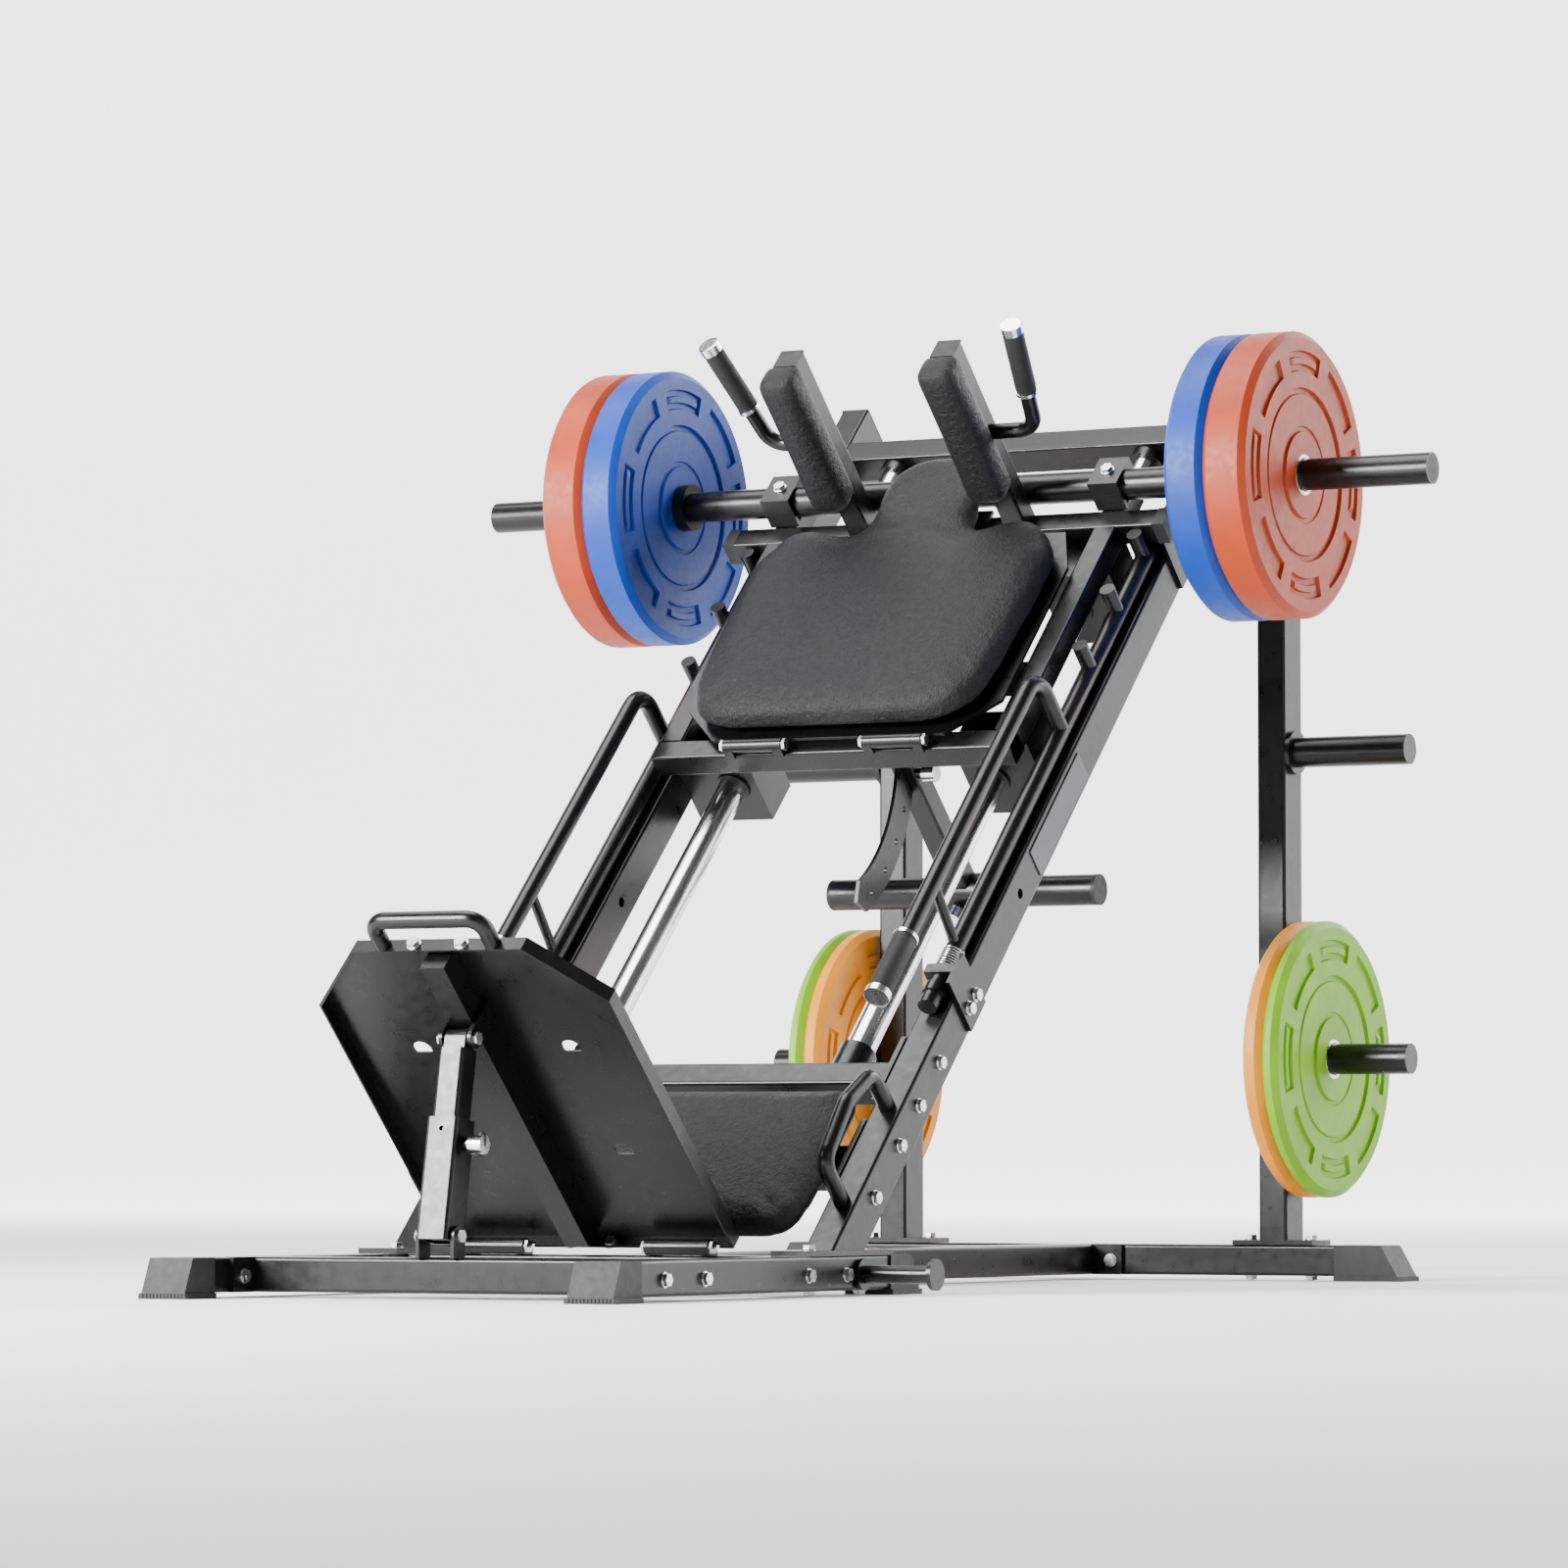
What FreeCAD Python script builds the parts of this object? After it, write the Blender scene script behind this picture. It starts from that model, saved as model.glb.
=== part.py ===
"""Plate-loaded incline leg press with a hinged back pad: parametric model, millimetres, +Z up.

Level pieces are drawn in the floor frame: X to the right, Y from the foot plate to the rear, Z up.
Pieces on the slope are drawn in the slope frame: X, then y up along the rails, then z out of them.
"""
import FreeCAD, Part
import math
import os
import Sketcher

os.makedirs("parts", exist_ok=True)
doc = FreeCAD.newDocument("leg_press")
Vector = FreeCAD.Vector

# ------------------------------------------------------------------ driving dimensions

SIZES = {
    # shared
    "slope": 45, "wall": 3, "corner": 5, "flange": 8, "fit": 0.05, "seat_gap": 0.3,
    "bolt_radius": 5, "bolt_play": 0.3, "head_flats": 17, "head_height": 6.5, "nut_height": 5,
    "washer_radius": 11, "washer_height": 1.6, "thread_end": 1, "pivot_radius": 6, "pivot_nut": 6,
    # base
    "floor_gap": 8, "base_height": 50, "base_x": 352, "base_width": 68, "base_front": 55,
    "base_rear": 764, "boot_width": 74, "sole_proud": 3, "front_boot_top": 55, "front_boot_foot": 76,
    "rear_boot_top": 62, "rear_boot_foot": 87, "side_boot_top": 83, "side_boot_foot": 112,
    "front_cross_y": 176, "hinge_cross_y": 580, "cross_width": 60, "flange_reach": 82,
    "cross_bolt_reach": 55, "cross_bolt_height": 31, "spine_width": 60, "spine_bolt_x": 62,
    "band_peg_y": 680, "band_peg_radius": 13, "band_peg_length": 118, "band_disc_radius": 25,
    "band_disc": 7,
    # rear frame
    "rear_y": 2156, "rear_width": 70, "rear_half": 465, "upright_x": 353, "upright_width": 50,
    "upright_depth": 67, "upright_top": 1372, "tie_top": 1350, "tie_height": 50,
    "shoe_half": 72, "shoe_bolt_reach": 54.5,
    # storage
    "peg_radius": 25, "low_peg_z": 360, "high_peg_z": 862, "peg_end": 587, "peg_collar": 8,
    "peg_collar_radius": 36, "disc_radius": 225, "hub_radius": 40, "disc_dish": 4.5,
    "band_edge": 189, "band_slope": 4.5, "hub_slope": 4, "disc_play": 0.3,
    "store_inner": 388, "store_yellow": 34, "store_green": 28,
    # rails
    "rail_x": 352, "rail_width": 50, "rail_front": -386, "rail_depth": 70, "rail_top": 2432,
    "foot_flange_front": 535, "foot_flange_rear": 775, "foot_bolt_front": 587, "foot_bolt_rear": 735,
    "side_bolt_n": -421, "rail_hole_u": 1268, "rail_hole_radius": 8, "cap_height": 4,
    "low_cross_u": 825, "low_cross_deep": 45, "low_flange_u": 790, "low_flange_long": 132,
    "low_bolt_near": 811, "low_bolt_far": 902, "top_cross_u": 2302, "top_cross_deep": 48,
    "rod_x": 232, "rod_n": -420, "rod_radius": 22.5, "socket_radius": 29, "socket_height": 52,
    "seat_cross_u": 650, "seat_cross_n": -390, "seat_tube": 50, "seat_flange_u": 601,
    "seat_flange_long": 147, "seat_bolt_near": 621, "seat_bolt_far": 728,
    "badge_low": 1335, "badge_high": 1560, "badge_n": -421, "badge_half": 24, "badge_thick": 2,
    # seat pad
    "seat_plate": 6, "seat_plate_half": 250, "seat_plate_low": 520, "seat_plate_high": 765,
    "seat_top": -340, "seat_low": 491, "seat_high": 787, "seat_half": 320, "seat_low_round": 72,
    "seat_high_round": 24,
    # grab handles
    "grab_radius": 12.5, "grab_bore": 10, "grab_low": 580, "grab_high": 774, "grab_low_n": -308,
    "grab_mid_u": 690, "grab_mid_n": -294, "grab_high_n": -318, "grab_bend": 26,
    # lock bars
    "lock_radius": 15, "lock_gap": 2.6, "lock_low": 966, "lock_high": 2062, "lock_peg_radius": 12.5,
    "lock_peg_tip": -317, "lock_peg_u": 1722, "lock_pitch": 133, "lever_radius": 14, "lever_n": -250,
    "lever_low": 866, "lever_bend_u": 1580, "lever_bend": 42, "grip_radius": 18.5, "grip_low": 863,
    "grip_high": 986, "grip_ring": 7, "grip_ring_radius": 20, "brace_radius": 8, "brace_low_u": 1095,
    "brace_high_u": 1112, "collar_u": 990, "collar_long": 20, "collar_radius": 17.2, "bearing_inner": 22,
    "bracket_plate": 6, "bracket_low_u": 1000, "bracket_long": 64, "bracket_bolt_near": 1018,
    "bracket_bolt_far": 1047, "bearing_u": 1024, "bearing_long": 18, "bearing_high_u": 2042,
    "bracket_high_u": 2010, "bracket_back": -452, "bearing_front": -351,
    "spring_low": 1044, "spring_high": 1086, "spring_radius": 17.2,
    # carriage
    "tube": 40, "tube_wall": 3, "tube_corner": 4, "tube_top": -310, "side_x": 298, "bottom_u": 1482,
    "cross_half": 380, "cross_end": 20, "mid_u": 1662, "block_low_u": 1530, "block_high_u": 1930,
    "block_long": 80, "block_reach": 70, "block_inner": 45, "bush_wall": 6, "bush_lip": 4,
    "bar_radius": 25, "bar_wall": 4, "bar_half": 850, "bar_plug": 12, "clamp_half": 26, "clamp_wall": 7,
    "clamp_cap": 5, "stop_radius": 38, "stop_long": 20, "disc_inner": 493, "disc_blue": 66,
    "disc_orange": 73, "arm_x": 141, "arm_top": 45, "pad_low_n": -222, "pad_high_n": 58,
    "pad_front_u": 1945, "pad_half": 37.5, "pad_round": 14, "grip_tube_radius": 12.5,
    "grip_tube_bore": 10, "grip_root_n": -122, "grip_turn_x": 238, "grip_tip_x": 271,
    "grip_tip_n": 84, "grip_turn": 32, "foam_radius": 17, "foam_start": 75,
    # loading horn under the carriage
    "horn_n": -777, "horn_half": 237, "hub_half": 35, "hub_wall": 7, "horn_cap": 6,
    "pin_radius": 5, "pin_collar_radius": 9, "pin_collar": 12, "pin_stem": 6, "knob_radius": 14,
    "knob_long": 22,
    # pad plate
    "hinge_u": 1484, "hinge_n": -293, "knuckle_radius": 11.5, "knuckle_in": 72, "knuckle_out": 176,
    "knuckle_side": 16, "sheet": 6, "sheet_n": -300, "back_top": -235, "back_low": 1499,
    "back_half": 275, "back_low_round": 74, "back_shoulder_u": 1972, "back_shoulder_x": 240,
    "back_taper_u": 1885, "notch_u": 1940, "notch_out": 186, "head_half": 97,
    "head_top": 2122, "head_under": -258, "sheet_border": 5, "sheet_top": 2036, "neck_half": 92,
    "sector_in": 238, "sector_out": 292, "sector_hole": 272, "sector_first": -52.4,
    "sector_pitch": 12.3, "sector_tip": -112, "sector_thick": 6, "sector_play": 1,
    # foot plate
    "foot_hinge_y": 550, "foot_hinge_z": 70, "foot_top": 468, "foot_deep": 24, "foot_sheet": 3,
    "foot_half": 243, "foot_low": -347, "foot_chamfer_n": 147, "foot_high": 250, "foot_nose": 142,
    "vent_x": 125, "vent_low_n": -169, "vent_high_n": 37, "vent_radius": 15, "vent_flat": 7,
    "foot_in": 103, "foot_out": 210, "foot_side": 16, "foot_knuckle": 11.7, "foot_lug": 12,
    "rib_deep": 24, "rib_low": -322, "rib_high": 238, "foot_handle_x": 91.5, "foot_handle_n": 298,
    "foot_handle_bend": 24, "foot_handle_radius": 12.5, "lip_bolt_x": 39.6,
    # strut
    "strut_y": 153.5, "strut_z": 89, "strut_top_y": 203.6, "strut_top_z": 368, "strut_width": 50,
    "strut_wall": 4.7, "strut_low": 8, "strut_high": 167, "inner_width": 40, "inner_low": 62,
    "inner_short": 16, "eye_radius": 13, "eye_half": 17, "eye_hole": 11, "ear_thick": 6,
    "ear_gap": 1, "ear_radius": 15, "strut_pin_at": 131, "strut_slot_at": 150, "strut_slot": 4,
}

sheet = doc.addObject("Spreadsheet::Sheet", "Sizes")
for row, (alias, amount) in enumerate(SIZES.items(), start=1):
    sheet.set("A%d" % row, alias)
    sheet.set("B%d" % row, str(amount))
    sheet.setAlias("B%d" % row, alias)
doc.recompute()


class Size:
    """A number together with the sheet formula that gives it."""

    def __init__(self, value, text):
        self.value = value
        self.text = text

    def __add__(self, other):
        return Size(self.value + number(other), "(%s + %s)" % (self.text, formula(other)))

    def __sub__(self, other):
        return Size(self.value - number(other), "(%s - %s)" % (self.text, formula(other)))

    def __mul__(self, other):
        return Size(self.value * number(other), "(%s * %s)" % (self.text, formula(other)))

    def __truediv__(self, other):
        return Size(self.value / number(other), "(%s / %s)" % (self.text, formula(other)))

    def __neg__(self):
        return Size(-self.value, "(0 - %s)" % self.text)

    __radd__ = __add__
    __rmul__ = __mul__


def number(size):
    return size.value if isinstance(size, Size) else float(size)


def formula(size):
    return size.text if isinstance(size, Size) else repr(float(size))


class Sheet:
    """Gives each cell of the sheet as a Size."""

    def __getattr__(self, alias):
        return Size(float(SIZES[alias]), "Sizes.%s" % alias)


s = Sheet()
NOUGHT = Size(0.0, "0")


def cosine(angle):
    return Size(math.cos(math.radians(number(angle))), "cos(%s)" % formula(angle))


def sine(angle):
    return Size(math.sin(math.radians(number(angle))), "sin(%s)" % formula(angle))


def root(size):
    return Size(math.sqrt(number(size)), "sqrt(%s)" % formula(size))


def bind(thing, **properties):
    for name, size in properties.items():
        setattr(thing, name, number(size))
        if isinstance(size, Size):
            thing.setExpression(name, size.text)


# ------------------------------------------------------------------ primitives and joins

def place(thing, x, y, z, rotation=FreeCAD.Rotation()):
    thing.Placement = FreeCAD.Placement(Vector(number(x), number(y), number(z)), rotation)
    for axis, size in (("x", x), ("y", y), ("z", z)):
        if isinstance(size, Size):
            thing.setExpression("Placement.Base." + axis, size.text)
    return thing


# Turns a piece drawn along its own Z so that it runs along the named axis.
ALONG = {
    "x": FreeCAD.Rotation(Vector(0, 1, 0), Vector(0, 0, 1), Vector(1, 0, 0), "ZXY"),
    "y": FreeCAD.Rotation(Vector(1, 0, 0), -90),
    "z": FreeCAD.Rotation(),
}


def block(xs, ys, zs):
    """Box between two X, two Y and two Z values."""
    box = doc.addObject("Part::Box", "Block")
    bind(box, Length=xs[1] - xs[0], Width=ys[1] - ys[0], Height=zs[1] - zs[0])
    return place(box, xs[0], ys[0], zs[0])


def spot(axis, start, first, second):
    """Point at start along the axis and at the two other coordinates in X, Y, Z order."""
    points = {"x": (start, first, second), "y": (first, start, second), "z": (first, second, start)}
    return points[axis]


def rod(axis, radius, start, end, first, second):
    """Round bar along an axis from start to end."""
    bar = doc.addObject("Part::Cylinder", "Rod")
    bind(bar, Radius=radius, Height=end - start)
    return place(bar, *spot(axis, start, first, second), ALONG[axis])


def hexagon(axis, flats, start, end, first, second):
    """Six-sided bar along an axis, given across its flats."""
    bar = doc.addObject("Part::Prism", "Hexagon")
    bar.Polygon = 6
    bind(bar, Circumradius=flats / math.sqrt(3), Height=end - start)
    return place(bar, *spot(axis, start, first, second), ALONG[axis])


def cut(base, *tools):
    tool = tools[0] if len(tools) == 1 else group(*tools)
    piece = doc.addObject("Part::Cut", "Cut")
    piece.Base = base
    piece.Tool = tool
    return piece


def weld(*pieces):
    piece = doc.addObject("Part::MultiFuse", "Weld")
    piece.Shapes = list(pieces)
    piece.Refine = True
    return piece


def group(*pieces):
    piece = doc.addObject("Part::Compound", "Group")
    piece.Links = list(pieces)
    return piece


def ring(axis, outer, inner, start, end, first, second):
    return cut(rod(axis, outer, start, end, first, second),
               rod(axis, inner, start - 1, end + 1, first, second))


def sketch_on(body, role, name):
    plane = [item for item in body.Origin.OriginFeatures if item.Role == role][0]
    sketch = body.newObject("Sketcher::SketchObject", name)
    sketch.AttachmentSupport = (plane, "")
    sketch.MapMode = "FlatFace"
    return sketch


def fix_point(sketch, geometry, end, x, y):
    for kind, size in (("DistanceX", x), ("DistanceY", y)):
        row = sketch.addConstraint(Sketcher.Constraint(kind, -1, 1, geometry, end, number(size)))
        if isinstance(size, Size):
            sketch.setExpression("Constraints[%d]" % row, size.text)


def draw_outline(sketch, points):
    """Closed outline of straight lines, each corner tied to the sheet."""
    first = sketch.GeometryCount
    count = len(points)
    corners = [Vector(number(x), number(y), 0) for x, y in points]
    for index in range(count):
        sketch.addGeometry(Part.LineSegment(corners[index], corners[(index + 1) % count]), False)
    for index in range(count):
        following = first + (index + 1) % count
        sketch.addConstraint(Sketcher.Constraint("Coincident", first + index, 2, following, 1))
        fix_point(sketch, first + index, 1, *points[index])


def rectangle(width, height):
    return [(-(width / 2), -(height / 2)), (width / 2, -(height / 2)),
            (width / 2, height / 2), (-(width / 2), height / 2)]


def padded_body(name, role, loops, length, reversed_pad=False):
    """Body whose first feature is a pad of the given outlines."""
    body = doc.addObject("PartDesign::Body", name)
    sketch = sketch_on(body, role, name + "_sketch")
    for loop in loops:
        draw_outline(sketch, loop)
    pad = body.newObject("PartDesign::Pad", name + "_pad")
    pad.Profile = sketch
    pad.Reversed = reversed_pad
    bind(pad, Length=length)
    doc.recompute()
    return body, pad


def straight_edges(shape, direction, points=None):
    """Names of the edges along a direction, or only of those through the given points."""
    names = []
    for index, edge in enumerate(shape.Edges, start=1):
        ends = [vertex.Point for vertex in edge.Vertexes]
        if len(ends) != 2 or abs(abs((ends[1] - ends[0]).normalize() * direction) - 1) > 1e-6:
            continue
        near = points is None or any(
            (point - ends[0]).cross(direction).Length < 0.01 for point in points)
        if near:
            names.append("Edge%d" % index)
    return names


def round_edges(body, base, names, radius):
    fillet = body.newObject("PartDesign::Fillet", body.Name + "_round")
    fillet.Base = (base, names)
    bind(fillet, Radius=radius)
    doc.recompute()
    return fillet


def tube(axis, start, end, first, second, wall=s.wall, corner=s.corner):
    """Rectangular tube along an axis; first and second are the (low, high) of its two sides."""
    width = first[1] - first[0]
    height = second[1] - second[0]
    inside = rectangle(width - wall * 2, height - wall * 2)
    body, pad = padded_body("Tube", "XY_Plane", [rectangle(width, height), inside], end - start)
    corners = [Vector(number(x), number(y), 0) for x, y in rectangle(width, height)]
    names = straight_edges(pad.Shape, Vector(0, 0, 1), corners)
    round_edges(body, pad, names, corner)
    middles = [(low + high) / 2 for low, high in (first, second)]
    return place(body, *spot(axis, start, *middles), ALONG[axis])


def bend_path(points, radius):
    """Wire of straight runs joined by tangent arcs of one radius."""
    edges = []
    start = points[0]
    for before, corner, after in zip(points, points[1:], points[2:]):
        into = (corner - before).normalize()
        out = (after - corner).normalize()
        turn = into.getAngle(out)
        back = radius * math.tan(turn / 2)
        bulge = radius / math.cos(turn / 2) - radius
        enter = corner - into * back
        leave = corner + out * back
        middle = corner + (out - into).normalize() * bulge
        edges.append(Part.LineSegment(start, enter).toShape())
        edges.append(Part.Arc(enter, middle, leave).toShape())
        start = leave
    edges.append(Part.LineSegment(start, points[-1]).toShape())
    return Part.Wire(edges)


def swept(path, radius, along):
    profile = Part.Wire([Part.Circle(path.OrderedVertexes[0].Point, along, radius).toShape()])
    return path.makePipeShell([profile], True, False)


def bent_tube(points, bend, radius, bore=None):
    """Round tube or bar along bent runs; read from the sheet, because no primitive bends so."""
    corners = [Vector(*[number(size) for size in point]) for point in points]
    path = bend_path(corners, number(bend))
    along = (corners[1] - corners[0]).normalize()
    shape = swept(path, number(radius), along)
    if bore is not None:
        shape = shape.cut(swept(path, number(bore), along))
    piece = doc.addObject("Part::Feature", "Bent")
    piece.Shape = shape
    return piece


def bolt(axis, first, second, head, tail):
    """Hex bolt with washers and nut; head and tail are the faces that it clamps."""
    out = 1 if number(head) > number(tail) else -1

    def span(start, length):
        return sorted((start, start + length * out), key=number)

    head_top = head + s.washer_height * out
    tail_end = tail - (s.washer_height + s.nut_height) * out
    nut_seat = tail - s.washer_height * out
    shank = sorted((tail_end - s.thread_end * out, head_top), key=number)
    return weld(
        rod(axis, s.bolt_radius, *shank, first, second),
        rod(axis, s.washer_radius, *span(head, s.washer_height), first, second),
        hexagon(axis, s.head_flats, *span(head_top, s.head_height), first, second),
        rod(axis, s.washer_radius, *span(tail, -s.washer_height), first, second),
        hexagon(axis, s.head_flats, *span(nut_seat, -s.nut_height), first, second))


def bolt_head(seat, x, y):
    """Washer and hex head that stand on a face seen along Z."""
    washer_top = seat + s.washer_height
    return weld(rod("z", s.washer_radius, seat, washer_top, x, y),
                hexagon("z", s.head_flats, washer_top, washer_top + s.head_height, x, y))


def bolt_hole(axis, first, second, start, end):
    return rod(axis, s.bolt_radius + s.bolt_play, start, end, first, second)


# ------------------------------------------------------------------ frames and node list

LEVEL = "level"
SLOPE = "slope"
nodes = []


def tilt(piece):
    """Carries a piece drawn in the slope frame into the level frame."""
    piece = group(piece)
    piece.Placement = FreeCAD.Placement(Vector(), FreeCAD.Rotation(Vector(1, 0, 0), SIZES["slope"]))
    return piece


def node(label, frame, *pieces):
    """Names a sub-part and moves it so that the part stands centred on its own origin."""
    front = s.base_front - s.front_boot_foot - s.sole_proud
    rear = s.rear_y + s.disc_radius
    middle = (front + rear) / 2
    turn = SIZES["slope"] if frame == SLOPE else 0
    piece = group(*pieces)
    piece.Label = label
    place(piece, 0, -middle, 0, FreeCAD.Rotation(Vector(1, 0, 0), turn))
    nodes.append(piece)


def both(build):
    """The same piece on the right and on the left."""
    return [build(1), build(-1)]


def across(low, high, side):
    """X range of a piece on the right (side 1) or mirrored to the left (side -1)."""
    return (low, high) if side > 0 else (-high, -low)


def around(middle, width):
    return (middle - width / 2, middle + width / 2)


SIDE_NAMES = {1: "right", -1: "left"}
base_top = s.floor_gap + s.base_height
base_level = (s.floor_gap, base_top)
rail_back = s.rail_front - s.rail_depth
rail_inner = s.rail_x - s.rail_width / 2
rail_outer = s.rail_x + s.rail_width / 2
base_inner = s.base_x - s.base_width / 2
base_outer = s.base_x + s.base_width / 2

# ------------------------------------------------------------------ base

def base_rail(side):
    rail = tube("y", s.base_front, s.base_rear, across(base_inner, base_outer, side), base_level)
    sideways = [bolt_hole("x", y, s.cross_bolt_height, *across(base_inner - 1, base_outer + 1, side))
                for middle in (s.front_cross_y, s.hinge_cross_y)
                for y in (middle - s.cross_bolt_reach, middle + s.cross_bolt_reach)]
    upright = [bolt_hole("z", s.base_x * side, y, s.floor_gap - 1, base_top + 1)
               for y in (s.foot_bolt_front, s.foot_bolt_rear)]
    return cut(rail, *sideways, *upright)


node("base_rails", LEVEL, *both(base_rail))


def boot(axis, along, out, middle, top_reach, foot_reach, width):
    """Moulded end boot: a block with a sloping nose on a wider sole."""
    nose = doc.addObject("Part::Wedge", "Boot")
    bind(nose, Xmin=0, Xmax=width, Ymin=0, Ymax=s.base_height, Zmin=0, Zmax=foot_reach,
         X2min=0, X2max=width, Z2min=0, Z2max=top_reach)
    turn = {("y", 1): Vector(0, 1, 0), ("y", -1): Vector(0, -1, 0),
            ("x", 1): Vector(1, 0, 0), ("x", -1): Vector(-1, 0, 0)}[(axis, out)]
    up = Vector(0, 0, 1)
    corner = turn.cross(up) * number(width) / 2
    rotation = FreeCAD.Rotation(up.cross(turn), up, turn, "YZX")
    low = s.floor_gap
    if axis == "y":
        place(nose, middle + corner.x, along, low, rotation)
        sole = block(around(middle, width + s.sole_proud * 2),
                     sorted((along, along + (foot_reach + s.sole_proud) * out), key=number), (NOUGHT, low))
    else:
        place(nose, along, middle + corner.y, low, rotation)
        sole = block(sorted((along, along + (foot_reach + s.sole_proud) * out), key=number),
                     around(middle, width + s.sole_proud * 2), (NOUGHT, low))
    return weld(nose, sole)


boots = [boot("y", s.base_front, -1, s.base_x * side, s.front_boot_top, s.front_boot_foot, s.boot_width)
         for side in (1, -1)]
boots += [boot("y", s.base_rear, 1, s.base_x * side, s.rear_boot_top, s.rear_boot_foot, s.boot_width)
          for side in (1, -1)]
boots += [boot("x", s.rear_half * side, side, s.rear_y, s.side_boot_top, s.side_boot_foot,
               s.rear_width + s.sole_proud * 2) for side in (1, -1)]
node("floor_boots", LEVEL, *boots)


def flanged_cross(middle):
    """Cross tube between the base rails with a bolted flange at each end."""
    reach = base_inner - s.flange
    ys = around(middle, s.cross_width)
    tubes = [tube("x", -reach, reach, ys, base_level)]
    for side in (1, -1):
        flange = block(across(reach, base_inner, side), around(middle, s.flange_reach * 2), base_level)
        holes = [bolt_hole("x", middle + s.cross_bolt_reach * end, s.cross_bolt_height,
                           *across(reach - 1, base_inner + 1, side)) for end in (1, -1)]
        tubes.append(cut(flange, *holes))
    return weld(*tubes)


# strut bracket on the front cross tube
ear_inner = s.strut_width / 2 + s.ear_gap
ear_outer = ear_inner + s.ear_thick


def strut_ear(side):
    xs = across(ear_inner, ear_outer, side)
    ear = weld(block(xs, around(s.strut_y, s.ear_radius * 2), (base_top, s.strut_z)),
               rod("x", s.ear_radius, *xs, s.strut_y, s.strut_z))
    return cut(ear, rod("x", s.pivot_radius + s.fit, xs[0] - 1, xs[1] + 1, s.strut_y, s.strut_z))


node("front_crossbar", LEVEL, weld(flanged_cross(s.front_cross_y), *both(strut_ear)))

# lugs of the foot plate's hinge on the second cross tube
hinge_front = s.hinge_cross_y - s.cross_width / 2


def foot_lug(low, side):
    xs = across(low, low + s.foot_side, side)
    lug = weld(rod("x", s.foot_lug, *xs, s.foot_hinge_y, s.foot_hinge_z),
               block(xs, (s.foot_hinge_y, s.foot_hinge_y + s.foot_lug * 1.6), (base_top, s.foot_hinge_z)))
    lug = cut(lug, block(xs, (hinge_front, s.hinge_cross_y), (s.floor_gap, base_top)))
    return cut(lug, rod("x", s.pivot_radius + s.fit, xs[0] - 1, xs[1] + 1,
                        s.foot_hinge_y, s.foot_hinge_z))


foot_lugs = [foot_lug(low, side) for side in (1, -1) for low in (s.foot_in, s.foot_out - s.foot_side)]
node("hinge_crossbar", LEVEL, weld(flanged_cross(s.hinge_cross_y), *foot_lugs))

rear_front = s.rear_y - s.rear_width / 2
rear_back = s.rear_y + s.rear_width / 2
spine = tube("y", s.hinge_cross_y + s.cross_width / 2, rear_front - s.flange,
             around(NOUGHT, s.spine_width), base_level)
spine_flange = block(around(NOUGHT, s.flange_reach * 2), (rear_front - s.flange, rear_front),
                     base_level)
spine_holes = [bolt_hole("y", s.spine_bolt_x * side, s.cross_bolt_height, rear_front - s.flange - 1,
                         rear_back + 1) for side in (1, -1)]
node("spine_tube", LEVEL, weld(spine, cut(spine_flange, *spine_holes)))

shoe_bolts = [(s.upright_x * side + s.shoe_bolt_reach * end) for side in (1, -1) for end in (1, -1)]
rear_tube = tube("x", -s.rear_half, s.rear_half, (rear_front, rear_back), base_level)
rear_holes = [bolt_hole("y", s.spine_bolt_x * side, s.cross_bolt_height, rear_front - 1, rear_back + 1)
              for side in (1, -1)]
rear_holes += [bolt_hole("z", x, s.rear_y, s.floor_gap - 1, base_top + 1) for x in shoe_bolts]
node("rear_crossbar", LEVEL, cut(rear_tube, *rear_holes))


def band_peg(side):
    """Resistance band peg: a disc on the rail, a round bar and an end disc."""
    start = base_outer
    end = start + s.band_peg_length
    height = s.cross_bolt_height
    return weld(
        rod("x", s.band_disc_radius - 2, *across(start, start + s.band_disc, side), s.band_peg_y, height),
        rod("x", s.band_peg_radius, *across(start, end, side), s.band_peg_y, height),
        rod("x", s.band_disc_radius - 2, *across(end, end + s.band_disc, side), s.band_peg_y, height))


node("band_pegs", LEVEL, *both(band_peg))

# ------------------------------------------------------------------ rear uprights and storage

upright_ys = around(s.rear_y, s.upright_depth)
shoe_top = base_top + s.flange


def upright(side):
    xs = around(s.upright_x * side, s.upright_width)
    post = tube("z", shoe_top, s.upright_top, xs, upright_ys)
    shoe = block(around(s.upright_x * side, s.shoe_half * 2), (rear_front, rear_back), (base_top, shoe_top))
    holes = [bolt_hole("z", s.upright_x * side + s.shoe_bolt_reach * end, s.rear_y, base_top - 1,
                       shoe_top + 1) for end in (1, -1)]
    tie_start = s.tie_top * (sine(s.slope) / cosine(s.slope)) - rail_back / cosine(s.slope) \
        - s.tie_height - s.rail_depth
    tie = tube("y", tie_start, upright_ys[0], xs, (s.tie_top - s.tie_height, s.tie_top))
    behind = tilt(block(around(s.rail_x * side, s.rail_width * 3), (s.rail_top / 2, s.rail_top * 2),
                        (rail_back, -rail_back)))
    return weld(post, cut(shoe, *holes), cut(tie, behind))


node("rear_uprights", LEVEL, *both(upright))


def storage_peg(side, height):
    start = s.upright_x + s.upright_width / 2
    collar_end = start + s.peg_collar
    return weld(rod("x", s.peg_collar_radius, *across(start, collar_end, side), s.rear_y, height),
                rod("x", s.peg_radius, *across(start, s.peg_end, side), s.rear_y, height))


node("storage_pegs", LEVEL, *[storage_peg(side, height) for side in (1, -1)
                              for height in (s.low_peg_z, s.high_peg_z)])


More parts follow.
